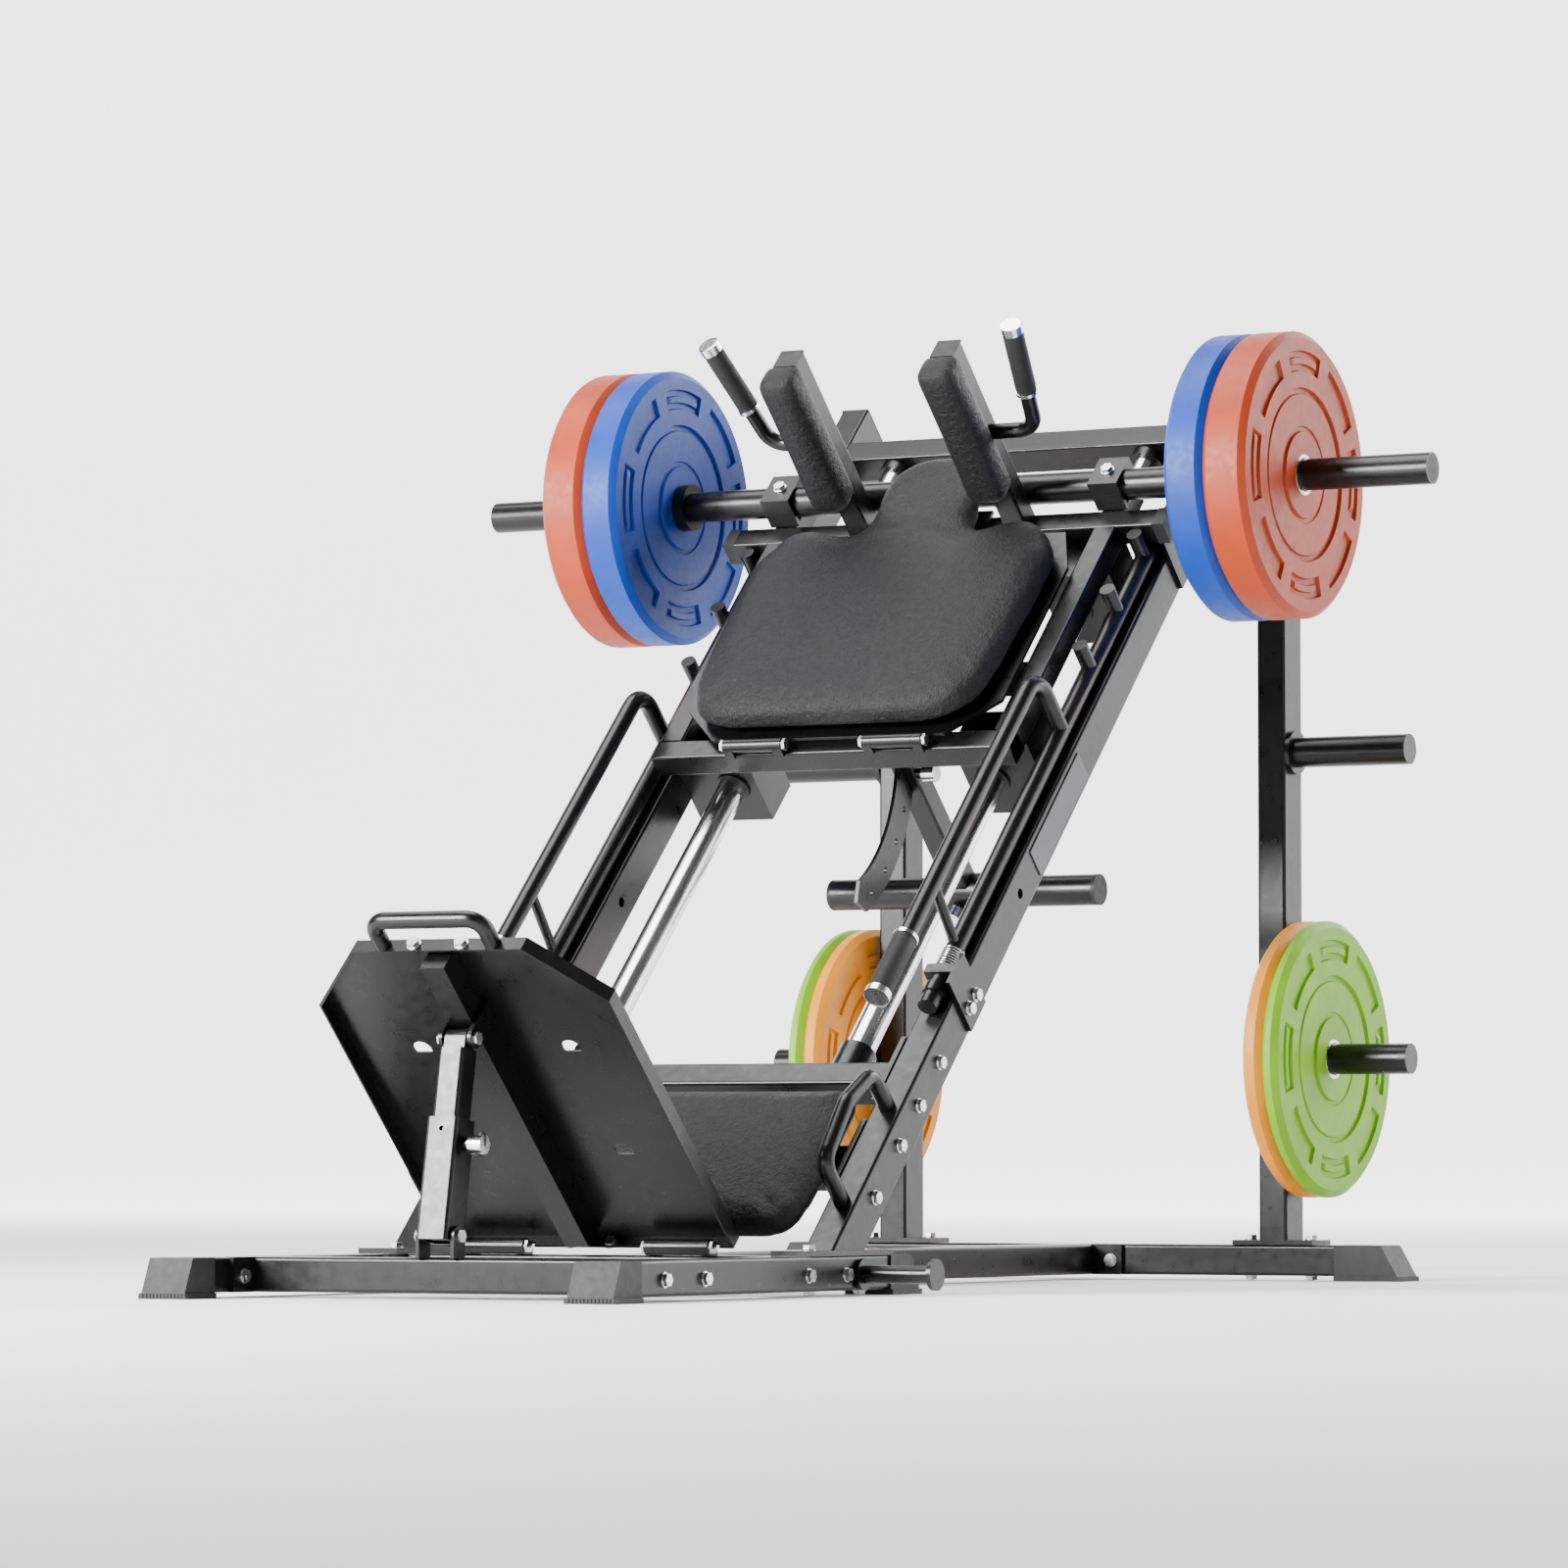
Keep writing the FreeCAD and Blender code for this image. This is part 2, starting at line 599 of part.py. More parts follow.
def weight_disc(side, start, thick, y, z, frame_bore):
    """Weight disc with a raised rim and hub, revolved about X, and its pressed steel hub."""
    body = doc.addObject("PartDesign::Body", "Disc")
    sketch = sketch_on(body, "XZ_Plane", "Disc_sketch")
    dish = s.disc_dish
    band_top = s.band_edge + s.band_slope
    hub_top = s.hub_radius * 2
    far = thick + 1
    profile = [(1, s.hub_radius + s.fit), (1, hub_top - s.hub_slope), (dish + 1, hub_top),
               (dish + 1, s.band_edge), (1, band_top), (1, s.disc_radius - dish),
               (dish + 1, s.disc_radius), (far - dish, s.disc_radius), (far, s.disc_radius - dish),
               (far, band_top), (far - dish, s.band_edge),
               (far - dish, hub_top), (far, hub_top - s.hub_slope), (far, s.hub_radius + s.fit)]
    draw_outline(sketch, profile)
    turned = body.newObject("PartDesign::Revolution", "Disc_turned")
    turned.Profile = sketch
    turned.ReferenceAxis = (sketch, ["H_Axis"])
    turned.Angle = 360
    doc.recompute()
    low = across(start, start + thick, side)[0]
    place(body, low - 1, y, z)
    hub = ring("x", s.hub_radius, frame_bore, *across(start, start + thick, side), y, z)
    return [body, hub]


store_bore = s.peg_radius + s.disc_play
for side in (1, -1):
    green_start = s.store_inner + s.store_yellow + s.seat_gap
    node("storage_discs_" + SIDE_NAMES[side], LEVEL,
         *weight_disc(side, s.store_inner, s.store_yellow, s.rear_y, s.low_peg_z, store_bore),
         *weight_disc(side, green_start, s.store_green, s.rear_y, s.low_peg_z, store_bore))

# ------------------------------------------------------------------ rails and fixed slope pieces

side_bolts = (s.seat_bolt_near, s.seat_bolt_far, s.low_bolt_near, s.low_bolt_far,
              s.bracket_bolt_near, s.bracket_bolt_far)


def incline_rail(side):
    xs = across(rail_inner, rail_outer, side)
    start = -s.rail_front
    rail = tube("y", start, s.rail_top, xs, (rail_back, s.rail_front))
    holes = [bolt_hole("x", u, s.side_bolt_n, xs[0] - 1, xs[1] + 1) for u in side_bolts]
    bush = rod("x", s.rail_hole_radius, xs[0] - 1, xs[1] + 1, s.rail_hole_u, s.side_bolt_n)
    rail = tilt(cut(rail, bush, *holes))
    underground = block(around(s.rail_x * side, s.rail_width * 2), (NOUGHT, s.base_rear * 2),
                        (-s.rail_top, shoe_top))
    flange_xs = across(base_inner, base_outer, side)
    flange = block(flange_xs, (s.foot_flange_front, s.foot_flange_rear), (base_top, shoe_top))
    flange_holes = [bolt_hole("z", s.base_x * side, y, base_top - 1, shoe_top + 1)
                    for y in (s.foot_bolt_front, s.foot_bolt_rear)]
    return weld(cut(rail, underground), cut(flange, *flange_holes))


for side in (1, -1):
    node("incline_rail_" + SIDE_NAMES[side], LEVEL, incline_rail(side))


def rail_cap(side):
    return block(across(rail_inner, rail_outer, side), (s.rail_top, s.rail_top + s.cap_height),
                 (rail_back, s.rail_front))


node("rail_end_caps", SLOPE, *both(rail_cap))

top_reach = rail_inner
top_cross_us = (s.top_cross_u, s.top_cross_u + s.top_cross_deep)
node("top_crossbar", SLOPE,
     tube("x", -top_reach, top_reach, top_cross_us, (s.rail_front - s.tie_height, s.rail_front)))


def slope_cross(low_u, deep, front, tall, flange_u, flange_long, bolts):
    """Cross tube between the rails on bolted flanges."""
    reach = rail_inner - s.flange
    pieces = [tube("x", -reach, reach, (low_u, low_u + deep), (front - tall, front))]
    for side in (1, -1):
        flange = block(across(reach, rail_inner, side), (flange_u, flange_u + flange_long),
                       (rail_back, s.rail_front))
        holes = [bolt_hole("x", u, s.side_bolt_n, *across(reach - 1, rail_inner + 1, side)) for u in bolts]
        pieces.append(cut(flange, *holes))
    return weld(*pieces)


node("lower_crossbar", SLOPE, slope_cross(s.low_cross_u, s.low_cross_deep, s.rail_front, s.tie_height,
                                          s.low_flange_u, s.low_flange_long,
                                          (s.low_bolt_near, s.low_bolt_far)))
seat_under = s.seat_cross_n + s.seat_plate
seat_tray = block(around(NOUGHT, s.seat_plate_half * 2),
                  (s.seat_plate_low, s.seat_plate_high), (s.seat_cross_n, seat_under))
node("seat_support", SLOPE, weld(slope_cross(s.seat_cross_u, s.seat_tube, s.seat_cross_n, s.seat_tube,
                                             s.seat_flange_u, s.seat_flange_long,
                                             (s.seat_bolt_near, s.seat_bolt_far)), seat_tray))

rod_low = s.low_cross_u + s.low_cross_deep
node("guide_rods", SLOPE, *[rod("y", s.rod_radius, rod_low, s.top_cross_u, s.rod_x * side, s.rod_n)
                            for side in (1, -1)])
socket_bore = s.rod_radius + s.fit
sockets = [ring("y", s.socket_radius, socket_bore, rod_low, rod_low + s.socket_height,
                s.rod_x * side, s.rod_n) for side in (1, -1)]
sockets += [ring("y", s.socket_radius, socket_bore, s.top_cross_u - s.socket_height / 3, s.top_cross_u,
                 s.rod_x * side, s.rod_n) for side in (1, -1)]
node("rod_sockets", SLOPE, *sockets)


def grab_handle(side):
    x = s.rail_x * side
    return bent_tube([(x, s.grab_low, s.rail_front), (x, s.grab_low, s.grab_low_n),
                      (x, s.grab_mid_u, s.grab_mid_n), (x, s.grab_high, s.grab_high_n),
                      (x, s.grab_high, s.rail_front)], s.grab_bend, s.grab_radius, s.grab_bore)


node("grab_handles", SLOPE, *both(grab_handle))


def badge(side):
    return block(across(rail_outer, rail_outer + s.badge_thick, side), (s.badge_low, s.badge_high),
                 around(s.badge_n, s.badge_half * 2))


node("badge_plates", SLOPE, *both(badge))

seat_lows = [(-s.seat_half, s.seat_low), (s.seat_half, s.seat_low), (s.seat_half, s.seat_high),
             (-s.seat_half, s.seat_high)]
seat_body, seat_slab = padded_body("Seat", "XY_Plane", [seat_lows], s.seat_top - seat_under - s.seat_gap)
low_corners = [Vector(SIZES["seat_half"] * side, SIZES["seat_low"], 0) for side in (1, -1)]
high_corners = [Vector(SIZES["seat_half"] * side, SIZES["seat_high"], 0) for side in (1, -1)]
seat_slab = round_edges(seat_body, seat_slab,
                        straight_edges(seat_slab.Shape, Vector(0, 0, 1), low_corners), s.seat_low_round)
seat_slab = round_edges(seat_body, seat_slab,
                        straight_edges(seat_slab.Shape, Vector(0, 0, 1), high_corners), s.seat_high_round)
place(seat_body, 0, 0, seat_under + s.seat_gap)
node("seat_pad", SLOPE, seat_body)

# ------------------------------------------------------------------ lock bars

lock_n = s.rail_front + s.lock_radius + s.lock_gap
lock_bore = s.lock_radius + s.fit


def lock_bracket(side, low_u, bearing_low, bolts):
    """Side plate bolted to the rail with a bored bearing block on its front."""
    plate_xs = across(rail_outer, rail_outer + s.bracket_plate, side)
    plate = block(plate_xs, (low_u, low_u + s.bracket_long), (s.bracket_back, s.bearing_front))
    holes = [bolt_hole("x", u, s.side_bolt_n, plate_xs[0] - 1, plate_xs[1] + 1) for u in bolts]
    bearing_us = (bearing_low, bearing_low + s.bearing_long)
    bearing = block(across(s.rail_x - s.bearing_inner, rail_outer + s.bracket_plate, side), bearing_us,
                    (s.rail_front, s.bearing_front))
    relief = rod("y", lock_bore, low_u - 1, low_u + s.bracket_long + 1, s.rail_x * side, lock_n)
    return cut(weld(cut(plate, *holes) if holes else plate, bearing), relief)


brackets = []
low_bracket_bolts = (s.bracket_bolt_near, s.bracket_bolt_far)
for side in (1, -1):
    brackets.append(lock_bracket(side, s.bracket_low_u, s.bearing_u, low_bracket_bolts))
    brackets.append(lock_bracket(side, s.bracket_high_u, s.bearing_high_u, ()))
node("lock_bar_brackets", SLOPE, *brackets)


def lock_spring(side):
    """Closed ring stack of the return spring round the lock bar."""
    return ring("y", s.spring_radius, lock_bore, s.spring_low, s.spring_high, s.rail_x * side, lock_n)


def lock_bar(side):
    x = s.rail_x * side
    bar = rod("y", s.lock_radius, s.lock_low, s.lock_high, x, lock_n)
    pegs = [rod("z", s.lock_peg_radius, lock_n, s.lock_peg_tip, x, s.lock_peg_u + s.lock_pitch * step)
            for step in range(3)]
    lever = bent_tube([(x, s.lever_low, s.lever_n), (x, s.lever_bend_u, s.lever_n),
                       (x, s.lever_bend_u, lock_n)], s.lever_bend, s.lever_radius)
    brace = bent_tube([(x, s.brace_low_u, lock_n), (x, s.brace_high_u, s.lever_n)], 1, s.brace_radius)
    collar = rod("y", s.collar_radius, s.collar_u, s.collar_u + s.collar_long, x, lock_n)
    return weld(bar, lever, brace, collar, *pegs)


def lock_grip(side):
    x = s.rail_x * side
    bore = s.lever_radius + s.fit
    foam = ring("y", s.grip_radius, bore, s.grip_low + s.grip_ring, s.grip_high, x, s.lever_n)
    near = ring("y", s.grip_ring_radius, bore, s.grip_high, s.grip_high + s.grip_ring, x, s.lever_n)
    end = rod("y", s.grip_ring_radius, s.grip_low, s.grip_low + s.grip_ring - s.seat_gap, x, s.lever_n)
    plug = rod("y", s.lever_radius, s.lever_low, s.lever_low + s.grip_ring, x, s.lever_n)
    return [foam, near, cut(end, plug)]


for side in (1, -1):
    node("lock_bar_" + SIDE_NAMES[side], SLOPE, lock_bar(side))
    node("lock_grip_" + SIDE_NAMES[side], SLOPE, *lock_grip(side))
node("lock_springs", SLOPE, *both(lock_spring))

# ------------------------------------------------------------------ carriage

tube_bottom = s.tube_top - s.tube
tube_ns = (tube_bottom, s.tube_top)
cross_u = s.lock_peg_u + s.lock_pitch * 2 + s.lock_peg_radius + s.seat_gap
cross_us = (cross_u, cross_u + s.tube)
bottom_us = (s.bottom_u, s.bottom_u + s.tube)
bar_u = cross_us[1] + s.clamp_wall + s.bar_radius
bar_n = s.tube_top + s.bar_radius + s.fit
clamp_us = (cross_us[1], bar_u + s.bar_radius + s.clamp_wall)


def carriage_tube(axis, start, end, first, second):
    return tube(axis, start, end, first, second, s.tube_wall, s.tube_corner)


side_tubes = []
for side in (1, -1):
    xs = around(s.side_x * side, s.tube)
    side_tubes.append(carriage_tube("y", bottom_us[1], cross_us[0], xs, tube_ns))
    side_tubes.append(carriage_tube("y", cross_us[1], clamp_us[1], xs, tube_ns))
node("carriage_side_tubes", SLOPE, *side_tubes)


def hinge_lug(low, side, u, n, radius, width, floor):
    """Fixed hinge knuckle standing on a tube."""
    xs = across(low, low + width, side)
    lug = weld(rod("x", radius, *xs, u, n), block(xs, around(u, radius * 2), (floor, n)))
    return cut(lug, rod("x", s.pivot_radius + s.fit, xs[0] - 1, xs[1] + 1, u, n))


bottom_reach = s.side_x + s.tube / 2
pad_lugs = [hinge_lug(low, side, s.hinge_u, s.hinge_n, s.knuckle_radius, s.knuckle_side, s.tube_top)
            for side in (1, -1) for low in (s.knuckle_in, s.knuckle_out - s.knuckle_side)]
node("carriage_bottom_tube", SLOPE,
     weld(carriage_tube("x", -bottom_reach, bottom_reach, bottom_us, tube_ns), *pad_lugs))
node("carriage_cross_tube", SLOPE, carriage_tube("x", -s.cross_half, s.cross_half, cross_us, tube_ns))

# loading horn: mid tube, hanging arm with a slot for the sector, and a hub round the lower bar
mid_us = around(s.mid_u, s.tube)
inner_reach = s.side_x - s.tube / 2
hub_radius = s.bar_radius + s.fit + s.hub_wall
arm_xs = around(NOUGHT, s.tube)
hang = carriage_tube("z", s.horn_n, tube_bottom, arm_xs, mid_us)
hub = rod("x", hub_radius, -s.hub_half, s.hub_half, s.mid_u, s.horn_n)
sweep = ring("x", s.sector_out + s.sector_play * 2, s.sector_in - s.sector_play * 2,
             -(s.sector_thick / 2 + s.sector_play), s.sector_thick / 2 + s.sector_play,
             s.hinge_u, s.hinge_n)
pin_u = s.hinge_u + s.sector_hole * cosine(s.sector_first)
pin_n = s.hinge_n + s.sector_hole * sine(s.sector_first)
pin_seat = rod("x", s.pin_collar_radius, s.tube / 2, s.tube / 2 + s.pin_collar, pin_u, pin_n)
pin_bore = rod("x", s.pin_radius + s.fit, s.tube_wall, s.tube, pin_u, pin_n)
horn_seat_u = s.mid_u - hub_radius - s.pin_collar
horn_seat = rod("y", s.pin_collar_radius, horn_seat_u, s.mid_u - s.bar_radius, 0, s.horn_n)
horn_bore = rod("y", s.pin_radius + s.fit, horn_seat_u - 1, s.mid_u, 0, s.horn_n)
bar_bore = rod("x", s.bar_radius + s.fit, -s.hub_half - 1, s.hub_half + 1, s.mid_u, s.horn_n)
node("horn_arm", SLOPE, weld(carriage_tube("x", -inner_reach, inner_reach, mid_us, tube_ns),
                             cut(weld(hang, hub, pin_seat, horn_seat), sweep, pin_bore, horn_bore, bar_bore)))
core = rod("x", s.bar_radius - s.seat_gap, -s.hub_half - 1, s.hub_half + 1, s.mid_u, s.horn_n)
node("loading_horn", SLOPE, weld(core, *[rod("x", s.bar_radius, *across(s.hub_half + 1, s.horn_half, side),
                                             s.mid_u, s.horn_n) for side in (1, -1)]))
node("weight_bar", SLOPE, ring("x", s.bar_radius, s.bar_radius - s.bar_wall, -s.bar_half, s.bar_half,
                               bar_u, bar_n))


def bar_clamp(side):
    xs = around(s.side_x * side, s.clamp_half * 2)
    clamp = block(xs, clamp_us, (s.tube_top, bar_n + s.bar_radius + s.clamp_cap))
    bore = s.bar_radius + s.fit
    saddle = block((xs[0] - 1, xs[1] + 1), around(bar_u, bore * 2), (s.tube_top - 1, bar_n))
    return cut(clamp, rod("x", bore, xs[0] - 1, xs[1] + 1, bar_u, bar_n), saddle)


def bar_stop(side):
    start = s.disc_inner - s.stop_long - s.seat_gap
    return ring("x", s.stop_radius, s.bar_radius + s.fit, *across(start, start + s.stop_long, side),
                bar_u, bar_n)


node("bar_clamps", SLOPE, *both(bar_clamp), *both(bar_stop))


def bearing_parts(side, low_u):
    """Bearing block on a guide rod and the lipped bush inside it."""
    xs = across(s.rod_x - s.block_inner, s.side_x + s.tube / 2, side)
    high_u = low_u + s.block_long
    x = s.rod_x * side
    outer = s.rod_radius + s.bush_wall
    housing = cut(block(xs, (low_u, high_u), (s.rod_n - s.block_reach, tube_bottom)),
                  rod("y", outer + s.fit, low_u - 1, high_u + 1, x, s.rod_n))
    bush = ring("y", outer, s.rod_radius + s.fit, low_u - s.bush_lip, high_u + s.bush_lip, x, s.rod_n)
    return housing, bush


bearings = [bearing_parts(side, low) for side in (1, -1) for low in (s.block_low_u, s.block_high_u)]
node("bearing_blocks", SLOPE, *[pair[0] for pair in bearings])
node("bearing_bushes", SLOPE, *[pair[1] for pair in bearings])

node("shoulder_arms", SLOPE, *[carriage_tube("z", s.tube_top, s.arm_top, around(s.arm_x * side, s.tube),
                                             cross_us) for side in (1, -1)])


def shoulder_pad(side):
    xs = around((s.arm_x + 1) * side, s.pad_half * 2)
    us = (s.pad_front_u, cross_u - s.seat_gap)
    width = xs[1] - xs[0]
    depth = us[1] - us[0]
    body, pad = padded_body("Shoulder", "XY_Plane", [rectangle(width, depth)], s.pad_high_n - s.pad_low_n)
    front = [Vector(number(width) / 2 * end, -number(depth) / 2, 0) for end in (1, -1)]
    round_edges(body, pad, straight_edges(pad.Shape, Vector(0, 0, 1), front), s.pad_round)
    return place(body, (xs[0] + xs[1]) / 2, (us[0] + us[1]) / 2, s.pad_low_n)


for side in (1, -1):
    node("shoulder_pad_" + SIDE_NAMES[side], SLOPE, shoulder_pad(side))

arm_middle = cross_u + s.tube / 2
arm_face = s.arm_x + s.tube / 2
lean = Vector(SIZES["grip_tip_x"] - SIZES["grip_turn_x"], 0, SIZES["grip_tip_n"] - SIZES["grip_root_n"])


def grip_points(side):
    return [(arm_face * side, arm_middle, s.grip_root_n), (s.grip_turn_x * side, arm_middle, s.grip_root_n),
            (s.grip_tip_x * side, arm_middle, s.grip_tip_n)]


def grip_along(side, fraction):
    """Point on the leaning stretch of the grip tube, as a share of its length."""
    root = Vector(SIZES["grip_turn_x"], number(arm_middle), SIZES["grip_root_n"])
    point = root + lean * fraction
    return Vector(point.x * side, point.y, point.z)


def hand_grip(side):
    start = SIZES["foam_start"] / lean.Length
    path = Part.Wire([Part.LineSegment(grip_along(side, start), grip_along(side, 0.995)).toShape()])
    along = (grip_along(side, 1) - grip_along(side, 0)).normalize()
    foam = swept(path, SIZES["foam_radius"], along)
    piece = doc.addObject("Part::Feature", "Foam")
    piece.Shape = foam.cut(swept(path, SIZES["grip_tube_radius"] + SIZES["fit"], along))
    return piece


node("grip_tubes", SLOPE, *[bent_tube(grip_points(side), s.grip_turn, s.grip_tube_radius, s.grip_tube_bore)
                            for side in (1, -1)])
node("hand_grips", SLOPE, *both(hand_grip))

cross_tip = s.cross_half + s.cross_end
end_caps = [block(across(s.cross_half, cross_tip, side), cross_us, tube_ns) for side in (1, -1)]
end_caps += [block(around(s.arm_x * side, s.tube), cross_us, (s.arm_top, s.arm_top + s.cap_height))
             for side in (1, -1)]
end_caps += [rod("x", s.bar_radius, *across(s.horn_half, s.horn_half + s.horn_cap, side), s.mid_u, s.horn_n)
             for side in (1, -1)]
plug_radius = s.bar_radius - s.bar_wall - s.fit
end_caps += [rod("x", plug_radius, *across(s.bar_half - s.bar_plug, s.bar_half, side), bar_u, bar_n)
             for side in (1, -1)]
node("tube_end_caps", SLOPE, *end_caps)
clamp_top = bar_n + s.bar_radius + s.clamp_cap
clamp_bolts = [bolt_head(clamp_top, s.side_x * side, bar_u) for side in (1, -1)]

disc_bore = s.bar_radius + s.disc_play
for side in (1, -1):
    orange_start = s.disc_inner + s.disc_blue + s.seat_gap
    node("inner_disc_" + SIDE_NAMES[side], SLOPE,
         *weight_disc(side, s.disc_inner, s.disc_blue, bar_u, bar_n, disc_bore))
    node("outer_disc_" + SIDE_NAMES[side], SLOPE,
         *weight_disc(side, orange_start, s.disc_orange, bar_u, bar_n, disc_bore))

# ------------------------------------------------------------------ hinged pad plate


def back_outline(border, low, top, neck):
    """Right half of the pad from the bottom up, then mirrored: body, shoulder notch and neck."""
    half = s.back_half + border
    right = [(half - s.back_low_round, low), (half, low + s.back_low_round), (half, s.back_taper_u),
             (s.back_shoulder_x + border, s.back_shoulder_u), (s.notch_out + border, s.back_shoulder_u),
             (s.notch_out - border, s.notch_u), (neck, s.notch_u), (neck, top)]
    return right + [(-x, u) for x, u in reversed(right)]


sheet_under = s.sheet_n
sheet_over = s.sheet_n + s.sheet
plate_body, plate_pad = padded_body(
    "Plate", "XY_Plane", [back_outline(s.sheet_border, s.back_low, s.sheet_top, s.neck_half)], s.sheet)
place(plate_body, 0, 0, sheet_under)


def plate_knuckle(side):
    xs = across(s.knuckle_in + s.knuckle_side + s.seat_gap, s.knuckle_out - s.knuckle_side - s.seat_gap, side)
    knuckle = weld(rod("x", s.knuckle_radius, *xs, s.hinge_u, s.hinge_n),
                   block(xs, (s.hinge_u, s.back_low + 1), (sheet_under, sheet_over)))
    return cut(knuckle, rod("x", s.pivot_radius + s.fit, xs[0] - 1, xs[1] + 1, s.hinge_u, s.hinge_n))


node("pad_plate", SLOPE, weld(plate_body, *both(plate_knuckle)))
back_body, back_slab = padded_body(
    "Back", "XY_Plane", [back_outline(s.fit, s.back_low, s.sheet_top, s.head_half)],
    s.back_top - sheet_over - s.seat_gap)
place(back_body, 0, 0, sheet_over + s.seat_gap)
head = block(around(NOUGHT, s.head_half * 2), (s.sheet_top - s.head_half, s.head_top),
             (s.head_under, s.back_top))
node("back_pad", SLOPE, weld(back_body, head))

sector_half = s.sector_thick / 2


def sector_plate():
    """Flat quadrant about the hinge with a row of locking holes and a pointed end."""
    inner, outer = SIZES["sector_in"], SIZES["sector_out"]

    def at(radius, angle):
        turn = math.radians(angle)
        return Vector(0, radius * math.cos(turn), radius * math.sin(turn))

    drop = SIZES["hinge_n"] - SIZES["sheet_n"]
    end_in = -math.degrees(math.asin(drop / inner))
    end_out = -math.degrees(math.asin(drop / outer))
    low = SIZES["sector_tip"] + 5
    edges = [Part.Arc(at(inner, low), at(inner, (low + end_in) / 2), at(inner, end_in)).toShape(),
             Part.LineSegment(at(inner, end_in), at(outer, end_out)).toShape(),
             Part.Arc(at(outer, end_out), at(outer, (low + end_out) / 2), at(outer, low)).toShape(),
             Part.LineSegment(at(outer, low), at((inner + outer) / 2, SIZES["sector_tip"])).toShape(),
             Part.LineSegment(at((inner + outer) / 2, SIZES["sector_tip"]), at(inner, low)).toShape()]
    plate = Part.Face(Part.Wire(edges)).extrude(Vector(SIZES["sector_thick"], 0, 0))
    for step in range(5):
        centre = at(SIZES["sector_hole"], SIZES["sector_first"] - SIZES["sector_pitch"] * step)
        hole = Part.makeCylinder(SIZES["pin_radius"] + SIZES["bolt_play"], SIZES["sector_thick"] + 2,
                                 centre - Vector(1, 0, 0), Vector(1, 0, 0))
        plate = plate.cut(hole)
    piece = doc.addObject("Part::Feature", "Sector")
    piece.Shape = plate
    return place(piece, -sector_half, s.hinge_u, s.hinge_n)


node("sector_plate", SLOPE, sector_plate())


def pull_pin(axis, tip, outward, reach, first, second):
    """Spring pin with a round knob; tip is its inner end and outward the way it is pulled."""
    stem_end = tip + reach * outward
    knob_start = stem_end - s.pin_stem * outward
    knob_end = knob_start + s.knob_long * outward
    return weld(rod(axis, s.pin_radius, *sorted((tip, stem_end), key=number), first, second),
                rod(axis, s.knob_radius, *sorted((knob_start, knob_end), key=number), first, second))


plate_pin_tip = sector_half + s.seat_gap
plate_pin_reach = s.tube / 2 + s.pin_collar + s.seat_gap + s.pin_stem - plate_pin_tip
node("plate_pull_pin", SLOPE, pull_pin("x", plate_pin_tip, 1, plate_pin_reach, pin_u, pin_n))
horn_pin_tip = s.mid_u - s.bar_radius - s.seat_gap
horn_pin_reach = horn_pin_tip - horn_seat_u + s.seat_gap + s.pin_stem
node("horn_pull_pin", SLOPE, pull_pin("y", horn_pin_tip, -1, horn_pin_reach, 0, s.horn_n))


def pivot_bolt(inner, outer, side, first, second):
    """Hinge bolt with a nut at each end of its lugs."""
    xs = across(inner, outer, side)
    ends = across(inner - s.pivot_nut, outer + s.pivot_nut, side)
    flats = s.head_flats
    return weld(rod("x", s.pivot_radius, *ends, first, second),
                hexagon("x", flats, ends[0], xs[0], first, second),
                hexagon("x", flats, xs[1], ends[1], first, second))


pad_hinge_bolts = [pivot_bolt(s.knuckle_in, s.knuckle_out, side, s.hinge_u, s.hinge_n) for side in (1, -1)]
node("carriage_bolts", SLOPE, *clamp_bolts, *pad_hinge_bolts)

# ------------------------------------------------------------------ foot plate and strut

foot_under = s.foot_top - s.foot_deep


def foot_outline(inset):
    half = s.foot_half - inset
    nose = s.foot_nose - inset
    return [(-half, s.foot_low + inset), (half, s.foot_low + inset), (half, s.foot_chamfer_n - inset),
            (nose, s.foot_high - inset), (-nose, s.foot_high - inset), (-half, s.foot_chamfer_n - inset)]


def world_spot(y, z):
    """Slope coordinates of a point given in the level frame."""
    return (y * cosine(s.slope) + z * sine(s.slope), z * cosine(s.slope) - y * sine(s.slope))


foot_pivot = world_spot(s.foot_hinge_y, s.foot_hinge_z)
top_pivot = world_spot(s.strut_top_y, s.strut_top_z)
tray_body = padded_body("Tray", "XZ_Plane", [foot_outline(NOUGHT)], s.foot_deep)[0]
place(tray_body, 0, s.foot_top, 0)
hollow_body = padded_body("Hollow", "XZ_Plane", [foot_outline(s.foot_sheet)], s.foot_deep)[0]
place(hollow_body, 0, s.foot_top - s.foot_sheet, 0)
vents = []
for x in (s.vent_x, -s.vent_x):
    for n in (s.vent_low_n, s.vent_high_n):
        below = block(around(x, s.vent_radius * 3), (foot_under - 1, s.foot_top + 2),
                      (n - s.vent_radius - 1, n - s.vent_flat))
        vents.append(cut(rod("y", s.vent_radius, foot_under, s.foot_top + 1, x, n), below))
foot_knuckles = []
foot_reliefs = []
for side in (1, -1):
    xs = across(s.foot_in + s.foot_side + s.seat_gap, s.foot_out - s.foot_side - s.seat_gap, side)
    foot_knuckles.append(rod("x", s.foot_knuckle, *xs, *foot_pivot))
    for low in (s.foot_in, s.foot_out - s.foot_side):
        gap_xs = across(low - s.pivot_nut - 3, low + s.foot_side + s.pivot_nut + 3, side)
        foot_reliefs.append(rod("x", s.foot_lug + 2, *gap_xs, *foot_pivot))
rib_us = (foot_under - s.rib_deep, s.foot_top - s.foot_sheet)
rib = block(arm_xs, rib_us, (s.rib_low, s.rib_high))


